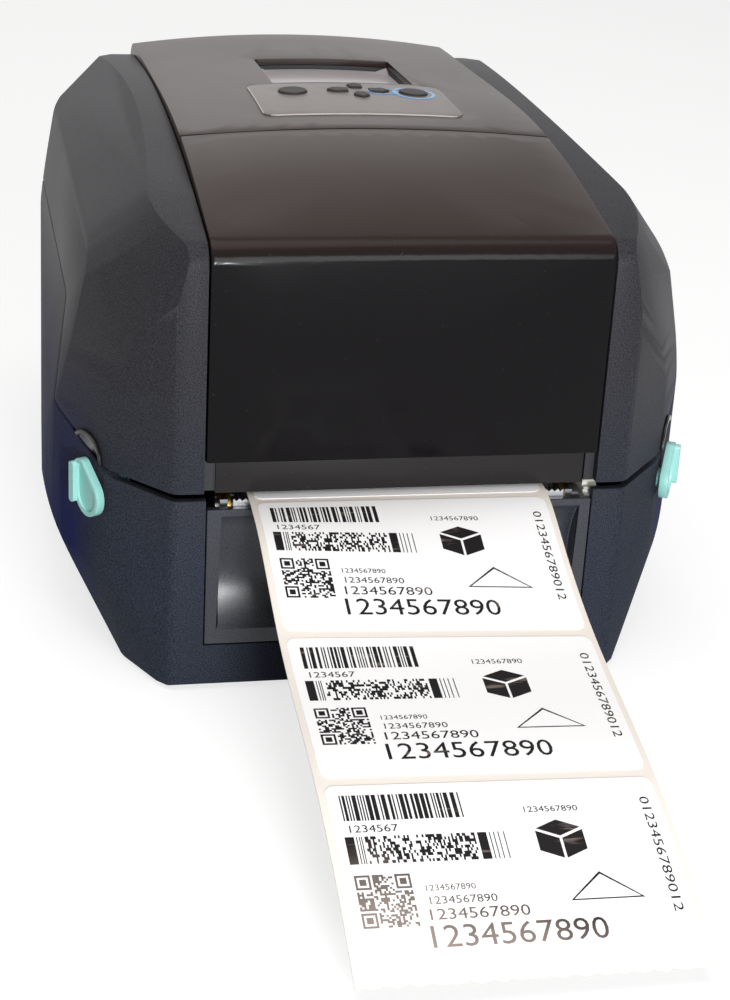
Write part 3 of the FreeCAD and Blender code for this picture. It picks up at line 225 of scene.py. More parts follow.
housingTone = {  # the flank range runs from y to y and is where the painted navy reflection lies; fadeHeight a height in metres, fadeFrom a share of that height; the lower colours hold a painted blue reflection
    "footDark": tone(30, 33, 42), "footLight": tone(62, 67, 80), "flankDark": tone(12, 18, 54),
    "flankLight": tone(24, 32, 88), "flank": (-0.026, -0.010), "topDark": tone(34, 34, 37),
    "topLight": tone(65, 65, 70), "fadeHeight": 0.11, "fadeFrom": 0.4, "specular": 0.08,
    "footRoughness": 0.74, "topGloss": 0.28, "grain": 0.4}


def housingFinish(name):  # grained black plastic, more matt towards the bottom, with a painted blue reflection low down and a painted navy reflection on the flanks there
    finish = Finish(name)
    fine, cloud = finish.noise(moulding["grain"], 1.0), finish.noise(moulding["cloud"], 3.0)
    high = finish.ramp(finish.axis("Z") * (1 / housingTone["fadeHeight"]), (housingTone["fadeFrom"], 0), (1.0, 1))
    start, end = housingTone["flank"]
    flank = finish.fade(finish.axis("Y"), start, 1 / (end - start))
    # painted reflection: bluish colours low down, navy on the flanks
    foot = [finish.mix(flank, housingTone["foot" + shade], housingTone["flank" + shade]) for shade in ("Dark", "Light")]
    dark, light = finish.mix(high, foot[0], housingTone["topDark"]), finish.mix(high, foot[1], housingTone["topLight"])
    finish.set(Base_Color=finish.mix(finish.ramp(fine, *moulding["stops"]), dark, light),
               Specular_IOR_Level=housingTone["specular"],
               Roughness=housingTone["footRoughness"] - high * housingTone["topGloss"]
               + (cloud - 0.5) * moulding["uneven"])
    finish.bump(fine, housingTone["grain"])
    return finish.owner


gloss = {"smear": 9, "flatten": (1, 1, 0.4), "smearRoughness": 0.05, "smearBump": 0.05, "smearDepth": 0.0004,
         "dust": 900, "stops": ((0.81, 0), (0.86, 1)), "dustTone": tone(96, 94, 92), "dustShare": 0.12,
         "dustRoughness": 0.2}


def polish(finish, body, roughness, specular):  # smears and a few specks of dust on a gloss
    smear = finish.noise(gloss["smear"], 4.0, gloss["flatten"])
    dust = finish.ramp(finish.noise(gloss["dust"], 0.0), *gloss["stops"])
    finish.set(Base_Color=finish.mix(dust * gloss["dustShare"], body, gloss["dustTone"]), Specular_IOR_Level=specular,
               Roughness=roughness + smear * gloss["smearRoughness"] + dust * gloss["dustRoughness"])
    finish.bump(smear, gloss["smearBump"], gloss["smearDepth"])
    return finish.owner


def glossyPlastic(name, colour, roughness, specular=0.5):
    return polish(Finish(name), colour, roughness, specular)


coverTone = {"face": tone(16, 14, 16), "roof": tone(46, 32, 27), "turnHeight": 0.150, "turnRate": 120.0,
             "roughness": 0.14, "roofRoughness": 0.14, "specular": 0.1}


def coverGloss(name):  # black front face; above turnHeight its top turns brown-black, a painted warm reflection
    finish = Finish(name)
    roof = finish.fade(finish.axis("Z"), coverTone["turnHeight"], coverTone["turnRate"])
    # painted warm reflection on the top of the cover
    body = finish.mix(roof, coverTone["face"], coverTone["roof"])
    roughness = coverTone["roughness"] + roof * coverTone["roofRoughness"]
    return polish(finish, body, roughness, coverTone["specular"])


brushing = {"lines": 60, "dark": 0.8, "uneven": 0.15, "bump": 0.15, "depth": 0.00005}


def brushedMetal(name, colour, roughness, stretch=(1, 40, 40)):
    finish = Finish(name)
    lines = finish.noise(brushing["lines"], 4.0, stretch)
    finish.set(Base_Color=finish.mix(lines, dimmed(colour, brushing["dark"]), colour), Metallic=1.0,
               Roughness=roughness + (lines - 0.5) * brushing["uneven"])
    finish.bump(lines, brushing["bump"], brushing["depth"])
    return finish.owner


rubber = {"grain": 3500, "dark": 0.7, "roughness": 0.6, "uneven": 0.2, "bump": 0.2, "depth": 0.00008}


def softRubber(name, colour):
    finish = Finish(name)
    fine = finish.noise(rubber["grain"], 2.0)
    finish.set(Base_Color=finish.mix(fine, dimmed(colour, rubber["dark"]), colour),
               Roughness=rubber["roughness"] + fine * rubber["uneven"])
    finish.bump(fine, rubber["bump"], rubber["depth"])
    return finish.owner


paper = {"fibre": 1400, "stretch": (1, 0.4, 1), "cloud": 25, "cloudShare": 0.6, "fibreShare": 0.4,
         "warmth": (1, 1.6, 2.6), "specular": 0.25, "bump": 0.08, "depth": 0.00005}


def paperSheet(name, colour, warmth, roughness):
    finish = Finish(name)
    fibres, cloud = finish.noise(paper["fibre"], 4.0, paper["stretch"]), finish.noise(paper["cloud"], 3.0)
    shaded = tuple(level * (1 - warmth * share) for level, share in zip(colour, paper["warmth"])) + (1,)
    mottled = cloud * paper["cloudShare"] + fibres * paper["fibreShare"]
    finish.set(Base_Color=finish.mix(mottled, colour, shaded), Roughness=roughness,
               Specular_IOR_Level=paper["specular"])
    finish.bump(fibres, paper["bump"], paper["depth"])
    return finish.owner


print("material tools ready")

housingPlastic = housingFinish("housingPlastic")
roofPlastic = mouldedPlastic("roofPlastic", tone(50, 39, 36), 0.34, grain=0.1, speckle=0.15, specular=0.2)
panelPlastic = mouldedPlastic("panelPlastic", tone(46, 49, 57), 0.3, grain=0.25, speckle=0.6)
darkPlastic = mouldedPlastic("darkPlastic", tone(30, 30, 33), 0.5, grain=0.3, speckle=0.3, specular=0.35)
gearPlastic = mouldedPlastic("gearPlastic", tone(222, 221, 214), 0.4, grain=0.1, speckle=0.03)
spindlePlastic = mouldedPlastic("spindlePlastic", tone(160, 161, 165), 0.42, grain=0.15, speckle=0.05)
leverPlastic = mouldedPlastic("leverPlastic", tone(148, 208, 201), 0.38, grain=0.12, speckle=0.05)
boardGreen = mouldedPlastic("boardGreen", tone(26, 92, 62), 0.3, grain=0.1, speckle=0.2)
frontGloss = coverGloss("frontGloss")
smokedBand = glossyPlastic("smokedBand", tone(34, 32, 32), 0.2, specular=0.2)
padGloss = glossyPlastic("padGloss", tone(24, 20, 20), 0.16, specular=0.25)
socketBlack = glossyPlastic("socketBlack", tone(22, 22, 23), 0.3)
ribbonFilm = glossyPlastic("ribbonFilm", tone(14, 14, 15), 0.22)
keyRubber = softRubber("keyRubber", tone(46, 42, 41))
rollerRubber = softRubber("rollerRubber", tone(34, 34, 36))
footRubber = softRubber("footRubber", tone(30, 30, 30))
sheetSteel = brushedMetal("sheetSteel", tone(198, 200, 203), 0.34)
darkSteel = brushedMetal("darkSteel", tone(110, 112, 116), 0.4)
turnedBrass = brushedMetal("turnedBrass", tone(205, 165, 92), 0.28, (40, 1, 1))
headAluminium = brushedMetal("headAluminium", tone(205, 206, 210), 0.3)
labelPaper = paperSheet("labelPaper", tone(251, 250, 250), 0.01, 0.55)
linerPaper = paperSheet("linerPaper", tone(238, 231, 223), 0.03, 0.42)
coreBoard = paperSheet("coreBoard", tone(168, 138, 102), 0.06, 0.85)

rollLook = {  # axisY and axisZ are the roll's axis, turns the rate of the rings in radians a metre
    "axisY": 0.1115, "axisZ": 0.078, "turns": 9000.0, "share": 0.35, "pale": tone(240, 237, 232),
    "dark": tone(214, 205, 192), "roughness": 0.7, "bump": 0.1, "depth": 0.00008}


def woundPaper(name):  # rings on the roll's ends, bands round it
    finish = Finish(name)
    up, back = finish.axis("Z") - rollLook["axisZ"], finish.axis("Y") - rollLook["axisY"]
    radius = finish.math("SQRT", up * up + back * back)
    bands = finish.math("SINE", radius * rollLook["turns"]) * 0.5 + 0.5
    finish.set(Base_Color=finish.mix(bands * rollLook["share"], rollLook["pale"], rollLook["dark"]),
               Roughness=rollLook["roughness"])
    finish.bump(bands, rollLook["bump"], rollLook["depth"])
    return finish.owner


keypadLook = {  # the paler line, a painted highlight, is where x is below left or y below near
    "left": -0.0336, "near": 0.0511, "line": tone(196, 190, 186), "edgeHighlightShare": 0.8, "pale": tone(118, 110, 108),
    "dark": tone(100, 94, 92), "grain": 2200, "fineShare": 0.4, "cloud": 30, "cloudShare": 0.3, "roughness": 0.42,
    "uneven": 0.1, "bump": 0.12}


def keypadFilm(name):  # grey film with a paler line, a painted highlight, along its near and left edges
    finish = Finish(name)
    fine, cloud = finish.noise(keypadLook["grain"], 1.0), finish.noise(keypadLook["cloud"], 3.0)
    edge = finish.math("MAXIMUM", finish.axis("X") < keypadLook["left"], finish.axis("Y") < keypadLook["near"])
    mottled = fine * keypadLook["fineShare"] + cloud * keypadLook["cloudShare"]
    body = finish.mix(mottled, keypadLook["pale"], keypadLook["dark"])
    # painted highlight along the near and left edges
    finish.set(Base_Color=finish.mix(edge * keypadLook["edgeHighlightShare"], body, keypadLook["line"]),
               Roughness=keypadLook["roughness"] + (cloud - 0.5) * keypadLook["uneven"])
    finish.bump(fine, keypadLook["bump"])
    return finish.owner


displayLook = {  # rows is the rate of the pixel rows in radians a metre
    "rows": 12000.0, "rowShare": 0.12, "cloud": 14, "cloudShare": 0.3, "pale": tone(214, 207, 210),
    "dark": tone(188, 181, 185), "roughness": 0.16, "uneven": 0.05, "specular": 0.5, "bump": 0.03}


def displayWindow(name):  # unlit display: a pale field with faint pixel rows
    finish = Finish(name)
    rows = finish.math("SINE", finish.axis("Y") * displayLook["rows"]) * 0.5 + 0.5
    cloud = finish.noise(displayLook["cloud"], 2.0)
    field = finish.mix(rows * displayLook["rowShare"] + cloud * displayLook["cloudShare"], displayLook["pale"],
                       displayLook["dark"])
    finish.set(Base_Color=field, Roughness=displayLook["roughness"] + cloud * displayLook["uneven"],
               Specular_IOR_Level=displayLook["specular"])
    finish.bump(cloud, displayLook["bump"])
    return finish.owner


inkLook = {  # the print pales beyond about the line y = x * rateX / rateY - cornerY
    "streak": 420, "streakStretch": (0.15, 1, 1), "streakStops": ((0.62, 0), (0.72, 1)), "streakShare": 0.3,
    "cornerY": 0.203, "rateY": -28.0, "rateX": 9.0, "wear": 60, "wearShare": 0.6, "fadeStops": ((0.35, 0), (1.0, 1)),
    "fadeShare": 0.6, "black": tone(17, 14, 15), "worn": tone(190, 172, 162), "roughness": 0.6, "specular": 0.15}


def labelInk(name):  # thermal print: black, with worn streaks, paler at the near left corner of the last label
    finish = Finish(name)
    streaks = finish.ramp(finish.noise(inkLook["streak"], 3.0, inkLook["streakStretch"]), *inkLook["streakStops"])
    corner = ((finish.axis("Y") + inkLook["cornerY"]) * inkLook["rateY"] - finish.axis("X") * inkLook["rateX"]
              + finish.noise(inkLook["wear"], 3.0) * inkLook["wearShare"])
    faded = finish.ramp(corner, *inkLook["fadeStops"])
    worn = finish.math("MAXIMUM", streaks * inkLook["streakShare"], faded * inkLook["fadeShare"])
    finish.set(Base_Color=finish.mix(worn, inkLook["black"], inkLook["worn"]), Roughness=inkLook["roughness"],
               Specular_IOR_Level=inkLook["specular"])
    return finish.owner


blueLook = {
    "grain": 2200, "fineShare": 0.5, "cloud": 60, "cloudShare": 0.4, "pale": tone(112, 165, 211),
    "dark": tone(94, 149, 198), "roughness": 0.35, "uneven": 0.1, "glow": tone(90, 150, 205), "paintedGlowStrength": 0.25,
    "bump": 0.1}


def ringBlue(name):  # printed light blue line, a little uneven, with a painted glow from its emission
    finish = Finish(name)
    fine, cloud = finish.noise(blueLook["grain"], 1.0), finish.noise(blueLook["cloud"], 3.0)
    mottled = fine * blueLook["fineShare"] + cloud * blueLook["cloudShare"]
    # the emission is a painted glow: the printed line is no lamp
    finish.set(Base_Color=finish.mix(mottled, blueLook["pale"], blueLook["dark"]),
               Roughness=blueLook["roughness"] + (cloud - 0.5) * blueLook["uneven"],
               Emission_Color=blueLook["glow"], Emission_Strength=blueLook["paintedGlowStrength"])
    finish.bump(fine, blueLook["bump"])
    return finish.owner


rollPaper, keypadGrey, displayGrey = woundPaper("woundPaper"), keypadFilm("keypadFilm"), displayWindow("displayWindow")
ink, blueLine = labelInk("labelInk"), ringBlue("ringBlue")

plainNodes = {  # CAD nodes whose own mesh stays
    "base_plate": darkPlastic, "case_screws": darkSteel, "tear_bar": sheetSteel, "chassis": sheetSteel,
    "port_panel": darkPlastic, "main_board": boardGreen, "data_sockets": sheetSteel, "power_inlet": socketBlack,
    "power_switch": socketBlack, "hinge_brackets": sheetSteel, "platen_gear": gearPlastic, "idler_gear": gearPlastic,
    "motor_pinion": turnedBrass, "motor_plate": sheetSteel, "media_sensor": darkPlastic,
    "media_holder_left": darkPlastic, "media_holder_right": darkPlastic, "holder_pinion": gearPlastic,
    "paper_guide_left": darkPlastic, "paper_guide_right": darkPlastic, "guide_pinion": gearPlastic,
    "latch_pins": sheetSteel, "control_board": boardGreen, "ribbon_carriage": sheetSteel,
    "printhead_bracket": sheetSteel, "printhead": headAluminium}
for node, material in plainNodes.items():
    for slot in nodes[node].material_slots:
        slot.link = "OBJECT"
        slot.material = material


skinning = {"weld": 0.000005, "flat": 0.4, "edgeSteps": 2, "sharp": 38}  # metres, degrees, count, degrees


def skin(node, material, edge, smooth=28):
    piece = bpy.data.objects.new(node + "_skin", nodes[node].data.copy())
    bpy.context.scene.collection.objects.link(piece)
    weld(piece, skinning["weld"], skinning["flat"])
    if edge:
        applyModifier(piece, "BEVEL", width=edge, segments=skinning["edgeSteps"], limit_method="ANGLE",
                      angle_limit=math.radians(skinning["sharp"]), use_clamp_overlap=True, harden_normals=False)
    smoothShade(piece, smooth)
    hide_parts(node)
    finishWith(piece, material, bodyOf[node])


skins = {  # node: finish, edge softening in metres, degrees up to which shading is smooth
    "base_shell": (housingPlastic, 0.0005), "lid_cheek_left": (housingPlastic, 0.0005),
    "lid_cheek_right": (housingPlastic, 0.0005), "front_cover": (frontGloss, 0.0006),
    "top_cover": (roofPlastic, 0.0005), "front_panel": (panelPlastic, 0.0005, 6), "lid_frame": (darkPlastic, 0.0),
    "tear_guard": (smokedBand, 0.0003), "latch_discs": (padGloss, 0.0004), "operator_plate": (keypadGrey, 0.0002),
    "release_lever_left": (leverPlastic, 0.0004), "release_lever_right": (leverPlastic, 0.0004),
    "rubber_feet": (footRubber, 0.0004), "platen_roller": (rollerRubber, 0.0), "platen_shaft": (sheetSteel, 0.0),
    "platen_bearings": (turnedBrass, 0.0), "hinge_pins": (sheetSteel, 0.0002), "stepper_motor": (darkSteel, 0.0004),
    "label_roll": (rollPaper, 0.0), "roll_core": (coreBoard, 0.0), "supply_ribbon": (ribbonFilm, 0.0),
    "takeup_ribbon": (ribbonFilm, 0.0), "supply_spindle": (spindlePlastic, 0.0),
    "takeup_spindle": (spindlePlastic, 0.0), "switch_rocker": (socketBlack, 0.0003),
    "display_module": (darkPlastic, 0.0003)}
for key in ("back", "select", "up", "down", "left", "right"):
    skins["key_" + key] = (keyRubber, 0.0004)
for node, choices in skins.items():
    skin(node, *choices)
print("skins made:", len(skins))

webShape = {  # inside rows are y, z; outside rows are y, z, sideways tilt, drift; gaps are y between labels
    "width": 0.1005, "labelWidth": 0.0965, "paper": 0.00035, "label": 0.00019, "lift": 0.00041,
    "inside": [(0.0747, 0.1232), (0.0121, 0.07229), (0.0101, 0.07090), (0.0076, 0.06985), (0.0039, 0.06935)],
    "outside": [(-0.0482, 0.06935, 0.0, -0.0012), (-0.0755, 0.0636, 0.0026, -0.0012),
                (-0.1127, 0.0481, 0.0021, -0.0003), (-0.1722, 0.0325, 0.0016, 0.0014),
                (-0.2325, 0.0050, 0.0009, 0.0031)],
    "startWay": (-1, 0), "endWay": (-0.894, -0.447), "slopeStep": 0.001,
    "gaps": (0.0685, 0.0072, -0.0555, -0.1127, -0.1722, -0.2287), "gap": 0.003, "corner": 0.003, "cornerSteps": 6,
    "slices": (40, 24), "linerCells": (260, 80), "linerSmooth": 40, "labelSmooth": 30}
tornShape = {"end": -0.2312, "bites": ((420, 0.6, 0.0004), (1330, 1.9, 0.0005)), "fray": (3900, 0.0003)}


def smoothLine(knots, first, last, steps=40):  # cubic spline with clamped ends
    rows = np.array(knots)
    chord = np.linalg.norm(np.diff(rows[:, :2], axis=0), axis=1)
    matrix, known = np.eye(len(rows)), np.zeros_like(rows)
    known[0, :2], known[-1, :2] = first, last
    for i in range(1, len(rows) - 1):
        before, after = chord[i - 1], chord[i]
        matrix[i, i - 1:i + 2] = after, 2 * (before + after), before
        known[i] = 3 * (after * (rows[i] - rows[i - 1]) / before + before * (rows[i + 1] - rows[i]) / after)
    slopes = np.linalg.solve(matrix, known)
    line = []
    for i, span in enumerate(chord):
        t = np.linspace(0, 1, steps, endpoint=False)[:, None]
        line.append((2 * t ** 3 - 3 * t ** 2 + 1) * rows[i] + (t ** 3 - 2 * t ** 2 + t) * span * slopes[i]
                    + (3 * t ** 2 - 2 * t ** 3) * rows[i + 1] + (t ** 3 - t ** 2) * span * slopes[i + 1])
    return np.vstack(line + [rows[-1:]])


webLine = smoothLine(webShape["outside"], webShape["startWay"], webShape["endWay"])
webLine = np.vstack([[(y, z, 0.0, 0.0) for y, z in webShape["inside"]], webLine])[::-1]  # y rising


def webValue(y, column):  # 1 is the height, 2 the sideways tilt, 3 the drift
    return np.interp(y, webLine[:, 0], webLine[:, column])


def webPlace(across, y, lift):  # a point of the web: across from its middle, at this y, above its lower face
    z, tilt, drift = (webValue(y, column) for column in (1, 2, 3))
    step = webShape["slopeStep"]
    slope = (webValue(y + step, 1) - webValue(y - step, 1)) / 2 / step
    size = math.hypot(1, slope)
    side = across * 2 / webShape["width"]
    return Vector((across + drift, y - slope / size * lift, z - tilt * side + lift / size))


def wrap(piece, lift):  # flat x, y of the piece become across, y on the web
    for vertex in piece.data.vertices:
        vertex.co = webPlace(vertex.co.x, vertex.co.y, lift + vertex.co.z)


def tornEnd(across):
    bites = sum(abs(math.sin(across * rate + start)) * depth for rate, start, depth in tornShape["bites"])
    rate, depth = tornShape["fray"]
    return tornShape["end"] + bites + depth * math.sin(across * rate)


def makeLiner():
    rows, columns = webShape["linerCells"]
    start, half = webShape["inside"][0][0], webShape["width"] / 2
    bpy.ops.mesh.primitive_grid_add(x_subdivisions=columns, y_subdivisions=rows, size=2)
    sheet = bpy.context.object
    for vertex in sheet.data.vertices:
        across = vertex.co.x * half
        share = (1 - vertex.co.y) / 2
        vertex.co = (across, start + (tornEnd(across) - start) * share, 0)
    wrap(sheet, 0.0)
    applyModifier(sheet, "SOLIDIFY", thickness=webShape["paper"], offset=1)
    smoothShade(sheet, webShape["linerSmooth"])
    settle(sheet, "webLiner")
    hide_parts("label_liner")
    finishWith(sheet, linerPaper, "base")


def sliceUp(piece, low, high):  # cuts at the same places on label and print, so that both bend alike
    rows, columns = webShape["slices"]
    cuts = [((0, low + (high - low) * i / rows, 0), (0, 1, 0)) for i in range(1, rows)]
    cuts += [((webShape["labelWidth"] * (i / columns - 0.5), 0, 0), (1, 0, 0)) for i in range(1, columns)]
    pick(piece)
    bpy.ops.object.mode_set(mode="EDIT")
    for place, normal in cuts:
        bpy.ops.mesh.select_all(action="SELECT")
        bpy.ops.mesh.bisect(plane_co=place, plane_no=normal)
    bpy.ops.object.mode_set(mode="OBJECT")


def makeLabel(back, front, name):
    low, high = front + webShape["gap"] / 2, back - webShape["gap"] / 2
    bpy.ops.mesh.primitive_plane_add(size=1)
    label = bpy.context.object
    bpy.ops.transform.resize(value=(webShape["labelWidth"], high - low, 1))
    bpy.ops.object.transform_apply(location=False, rotation=False, scale=True)
    bpy.ops.object.mode_set(mode="EDIT")
    bpy.ops.mesh.bevel(offset=webShape["corner"], segments=webShape["cornerSteps"], affect="VERTICES")
    bpy.ops.object.mode_set(mode="OBJECT")
    for vertex in label.data.vertices:
        vertex.co.y += (low + high) / 2
    sliceUp(label, low, high)
    wrap(label, webShape["lift"])
    applyModifier(label, "SOLIDIFY", thickness=webShape["label"], offset=1)
    return settle(label, name)


makeLiner()
gaps = webShape["gaps"]
labels = [makeLabel(back, front, "label" + str(i)) for i, (back, front) in enumerate(zip(gaps, gaps[1:]))]
faces = joinAll(labels, "labelFaces")
smoothShade(faces, webShape["labelSmooth"])
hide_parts("printed_labels")
finishWith(faces, labelPaper, "base")
print("web made")

# Metres from the left and near edges of a label as long as "length": bars, stack and triangle are x, y, width and
# height, square is x, y, size and cells a side, box is x, y and size, digits and side are text, x, y, height, width.
# The stack has bars, each a start and a width, and between them rows and columns of cells.
printing = {
    "length": 0.0583, "above": 0.00004, "seed": 40, "overlap": 1.02, "inkChance": 0.5,
    "bars": (0.0037, 0.0457, 0.0362, 0.0089), "barWidths": (0.0004, 0.0004, 0.0008, 0.0012),
    "barGaps": (0.0004, 0.0008), "stack": (0.0028, 0.0317, 0.0455, 0.0087),
    "stackBars": ((0, 0.0026), (0.0032, 0.0003), (0.0040, 0.0003), (0.0046, 0.0003), (0.0377, 0.0026),
                  (0.0411, 0.0003), (0.0423, 0.0003), (0.0436, 0.0003), (0.0452, 0.0003)),
    "stackCells": (9, 60), "stackStart": 0.0056, "stackEnds": 0.0142, "square": (0.0031, 0.0127, 0.0156, 25),
    "digits": [("1234567", 0.0047, 0.0418, 0.0024, 0.0138), ("1234567890", 0.0224, 0.0228, 0.0018, 0.0140),
               ("1234567890", 0.0227, 0.0188, 0.0023, 0.0190), ("1234567890", 0.0220, 0.0142, 0.0032, 0.0280),
               ("1234567890", 0.0212, 0.0062, 0.0064, 0.0495), ("1234567890", 0.0559, 0.0466, 0.0020, 0.0158)],
    "side": ("0123456789012", 0.0909, 0.0507, 0.0028, 0.0377), "triangle": (0.0622, 0.0178, 0.0215, 0.0085),
    "peak": 0.47, "inset": (0.1, 0.14), "box": (0.0577, 0.0303, 0.0130), "boxGap": 0.03}


def cellsMesh(cells, name):  # each cell is a list of its corners
    corners, polygons = [], []
    for cell in cells:
        polygons.append(tuple(range(len(corners), len(corners) + len(cell))))
        corners += [(x, y, 0) for x, y in cell]
    mesh = bpy.data.meshes.new(name)
    mesh.from_pydata(corners, [], polygons)
    piece = bpy.data.objects.new(name, mesh)
    bpy.context.scene.collection.objects.link(piece)
    return piece


def block(x, y, width, height):
    return [(x, y), (x + width, y), (x + width, y + height), (x, y + height)]


def barCells(dice):
    x, y, width, height = printing["bars"]
    cells, at = [], 0.0
    while at < width - max(printing["barWidths"]):
        bar = dice.choice(printing["barWidths"])
        cells.append(block(x + at, y, bar, height))
        at += bar + dice.choice(printing["barGaps"])
    return cells


def stackCells(dice):
    x, y, width, height = printing["stack"]
    rows, columns = printing["stackCells"]
    cells = [block(x + start, y, bar, height) for start, bar in printing["stackBars"]]
    tall, wide, overlap = height / rows, (width - printing["stackEnds"]) / columns, printing["overlap"]
    for row in range(rows):
        for column in range(columns):
            if dice.random() < printing["inkChance"]:
                cells.append(block(x + printing["stackStart"] + column * wide, y + row * tall, wide * overlap,
                                   tall * overlap))
    return cells


def squareCells(dice):  # random cells, with a mark in three corners whose rings 0, 1 and 3 are dark
    x, y, size, count = printing["square"]
    cell, middle, reach = size / count, 3, 8
    cells = []
    for row in range(count):
        for column in range(count):
            edge = [(row, column), (row, count - 1 - column), (count - 1 - row, column)]
            mark = [max(abs(a - middle), abs(b - middle)) for a, b in edge if a < reach and b < reach]
            dark = mark[0] in (0, 1, 3) if mark else dice.random() < printing["inkChance"]
            if dark:
                cells.append(block(x + column * cell, y + size - (row + 1) * cell, cell * printing["overlap"],
                                   cell * printing["overlap"]))
    return cells


def triangleCells():  # outline of a triangle
    x, y, width, height = printing["triangle"]
    outer = ((x, y), (x + width, y), (x + width * printing["peak"], y + height))
    middle = [sum(corner[axis] for corner in outer) / 3 for axis in (0, 1)]
    inner = [tuple(place + (centre - place) * inset for place, centre, inset in zip(corner, middle, printing["inset"]))
             for corner in outer]
    return [[outer[i], outer[(i + 1) % 3], inner[(i + 1) % 3], inner[i]] for i in range(3)]


def boxCells():  # a closed carton seen from a corner, faces apart by a thin line
    x, y, size = printing["box"]
    gap = size * printing["boxGap"]
    shapes = [[(0, 0.26), (0.5, 0.05), (0.5, 0.55), (0, 0.76)], [(0.5, 0.05), (1, 0.26), (1, 0.76), (0.5, 0.55)],
              [(0, 0.79), (0.5, 0.58), (1, 0.79), (0.5, 1.0)]]
    return [[(x + across * size + pushX, y + up * size + pushY) for across, up in shape]
            for shape, (pushX, pushY) in zip(shapes, ((-gap, 0), (gap, 0), (0, gap)))]


def digitRow(text, x, y, height, width, turned=False):
    bpy.ops.object.text_add()
    row = bpy.context.object
    row.data.body = text
    row.data.resolution_u = 3
    row.data.size = 1.0
    bpy.ops.object.convert(target="MESH")
    row = bpy.context.object
    corners = np.array([vertex.co for vertex in row.data.vertices])
    low, span = corners.min(0), np.ptp(corners, 0)
    for vertex in row.data.vertices:
        across, up = (vertex.co.x - low[0]) / span[0] * width, (vertex.co.y - low[1]) / span[1] * height
        vertex.co = (x + up, y - across, 0) if turned else (x + across, y + up, 0)
    return row


def printLabel(index, back, front):
    dice = random.Random(printing["seed"] + index)
    cells = barCells(dice) + stackCells(dice) + squareCells(dice) + triangleCells() + boxCells()
    pieces = [cellsMesh(cells, "cells")] + [digitRow(*row) for row in printing["digits"]]
    pieces.append(digitRow(*printing["side"], turned=True))
    name = "labelPrint" + str(index)
    printed = joinAll(pieces, name)
    near = front + webShape["gap"] / 2
    stretch = (back - front - webShape["gap"]) / printing["length"]
    for vertex in printed.data.vertices:
        vertex.co.x -= webShape["labelWidth"] / 2
        vertex.co.y = near + vertex.co.y * stretch
    sliceUp(printed, near, back - webShape["gap"] / 2)
    wrap(printed, webShape["lift"] + webShape["label"] + printing["above"])
    return settle(printed, name)


print("printing the labels")
printed = [printLabel(i, back, front) for i, (back, front) in enumerate(zip(gaps[2:], gaps[3:]))]
finishWith(joinAll(printed, "labelPrint"), ink, "base")

rayStart = 0.3  # a height above the whole part


def covering(node):  # height of a CAD node's surface below a point, by a ray from above
    mesh = nodes[node].data
    tree = BVHTree.FromPolygons([vertex.co for vertex in mesh.vertices], [face.vertices for face in mesh.polygons])
    return lambda x, y: tree.ray_cast(Vector((x, y, rayStart)), Vector((0, 0, -1)))[0].z


window = {"x": 0.0036, "y": 0.1245, "width": 0.0536, "length": 0.0476, "above": 0.0002, "thickness": 0.0004,
          "cells": 12, "smooth": 30}


def makeWindow():
    floor = covering("display_module")
    bpy.ops.mesh.primitive_grid_add(x_subdivisions=window["cells"], y_subdivisions=window["cells"], size=1)
    glass = bpy.context.object
    for vertex in glass.data.vertices:
        x, y = window["x"] + vertex.co.x * window["width"], window["y"] + vertex.co.y * window["length"]
        vertex.co = (x, y, floor(x, y) + window["above"])
    applyModifier(glass, "SOLIDIFY", thickness=window["thickness"], offset=-1)
    settle(glass, "displayGlass")
    smoothShade(glass, window["smooth"])
    finishWith(glass, displayGrey, "lid")


rings = {  # corner power (1 is an ellipse), centre, half width and length inside, line
    "selectRing": (1.0, 0.0268, 0.0822, 0.0067, 0.0078, 0.0012),
    "arrowRing": (0.6, 0.0152, 0.0834, 0.0051, 0.0040, 0.0005)}
ringSheet = {"corners": 64, "above": 0.0001, "thickness": 0.0003, "weld": 0.000001}


def makeRing(name, power, x, y, halfWidth, halfLength, line):
    top = covering("operator_plate")
    clear = halfLength + 3 * line  # the plate is probed this far before and behind the middle, off the key's hole
    nearLeft, farLeft, nearRight, farRight = (top(x + side * halfWidth, y + end * clear)
                                              for side in (-1, 1) for end in (-1, 1))
    level = (nearLeft + farLeft + nearRight + farRight) / 4
    slopeX = (nearRight + farRight - nearLeft - farLeft) / 4 / halfWidth
    slopeY = (farLeft + farRight - nearLeft - nearRight) / 4 / clear
    edges = []
    for i in range(ringSheet["corners"]):
        turn = 2 * math.pi * i / ringSheet["corners"]
        cx, cy = (math.copysign(abs(v) ** power, v) for v in (math.cos(turn), math.sin(turn)))
        edges.append([(x + cx * (halfWidth + grow), y + cy * (halfLength + grow)) for grow in (0, line)])
    cells = [[inner, outer, outerNext, innerNext]
             for (inner, outer), (innerNext, outerNext) in zip(edges, edges[1:] + edges[:1])]
    ring = cellsMesh(cells, name)
    for vertex in ring.data.vertices:
        vertex.co.z = level + slopeX * (vertex.co.x - x) + slopeY * (vertex.co.y - y) + ringSheet["above"]
    weld(ring, ringSheet["weld"])
    applyModifier(ring, "SOLIDIFY", thickness=ringSheet["thickness"], offset=0)
    finishWith(settle(ring, name), blueLine, "lid")


makeWindow()
for name, ring in rings.items():
    makeRing(name, *ring)
print("operator panel made")

backdrop = {  # glow and worldShown as the eye sees them, worldLight as they light the part
    "size": 60, "floor": tone(180, 180, 180), "roughness": 0.9, "glow": 0.72, "worldShown": 1.0, "worldLight": 0.08}


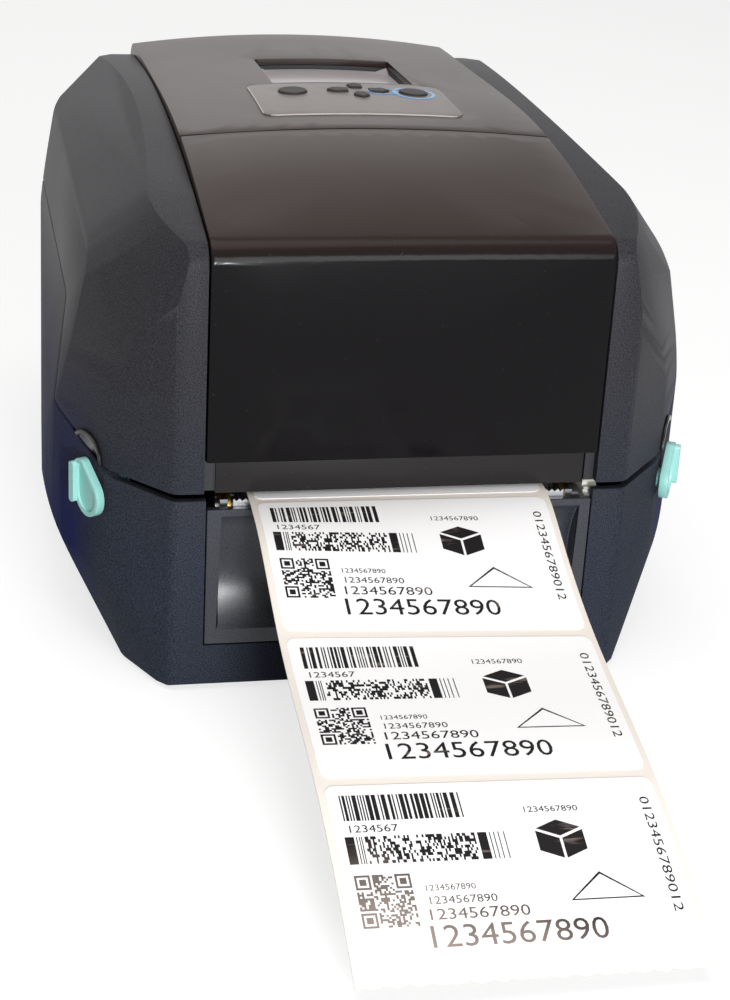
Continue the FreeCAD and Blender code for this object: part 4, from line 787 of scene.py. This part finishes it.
def makeStage():
    finish = Finish("paleFloor")
    finish.set(Base_Color=backdrop["floor"], Roughness=backdrop["roughness"], Specular_IOR_Level=0.0,
               Emission_Color=(1, 1, 1, 1), Emission_Strength=finish.shown() * backdrop["glow"])
    bpy.ops.mesh.primitive_plane_add(size=backdrop["size"])
    floor = bpy.context.object
    floor.name = "studioFloor"
    floor.data.materials.append(finish.owner)
    world = bpy.data.worlds.new("studio")
    bpy.context.scene.world = world
    sky = Shop(world, "Background")
    gain = backdrop["worldShown"] - backdrop["worldLight"]
    sky.set(Color=(1, 1, 1, 1), Strength=sky.shown() * gain + backdrop["worldLight"])


lamps = {  # place, aim, size, watts, colour
    "topSoftbox": ((-0.1, -0.1, 1.5), (0, 0.0, 0.1), (1.2, 1.0), 11, (1.0, 0.98, 0.96)),
    "frontSoftbox": ((0.15, -1.35, 0.45), (0, 0.0, 0.08), (0.7, 0.5), 9, (0.98, 0.99, 1.0)),
    "rearSoftbox": ((-0.2, 1.7, 1.0), (0, 0.1, 0.12), (1.6, 0.5), 3, (1.0, 0.95, 0.93)),
    "scoopLamp": ((-0.02, -1.0, 0.13), (-0.055, -0.05, 0.035), (0.10, 0.08), 5.5, (0.97, 0.98, 1.0))}


def makeLamps():
    for name, (place, aim, size, watts, colour) in lamps.items():
        lamp = bpy.data.lights.new(name, "AREA")
        lamp.shape, lamp.energy, lamp.color = "RECTANGLE", watts, colour
        lamp.size, lamp.size_y = size
        holder = bpy.data.objects.new(name, lamp)
        bpy.context.scene.collection.objects.link(holder)
        holder.location = place
        holder.rotation_euler = (Vector(aim) - Vector(place)).to_track_quat("-Z", "Y").to_euler()


cameraView = {  # degrees for yaw, down and roll, millimetres for lens and sensor
    "place": (-0.1486, -0.6701, 0.3437), "yaw": 12.42, "down": 23.59, "roll": 3.24, "lens": 75.36, "sensor": 36.0}


def makeCamera():
    yaw, down, roll = (math.radians(cameraView[key]) for key in ("yaw", "down", "roll"))
    ahead = Vector((math.sin(yaw) * math.cos(down), math.cos(yaw) * math.cos(down), -math.sin(down)))
    right = Vector((math.cos(yaw), -math.sin(yaw), 0))
    up = right.cross(ahead)
    across, above = right * math.cos(roll) + up * math.sin(roll), up * math.cos(roll) - right * math.sin(roll)
    camera = bpy.data.cameras.new("camera")
    camera.lens, camera.sensor_width = cameraView["lens"], cameraView["sensor"]
    holder = bpy.data.objects.new("camera", camera)
    bpy.context.scene.collection.objects.link(holder)
    turn = Matrix((across, above, -ahead)).transposed().to_4x4()
    holder.matrix_world = Matrix.Translation(cameraView["place"]) @ turn
    bpy.context.scene.camera = holder


makeStage()
makeLamps()
makeCamera()
bpy.context.scene.view_settings.view_transform = "Standard"
print("stage ready")

deselectAll()
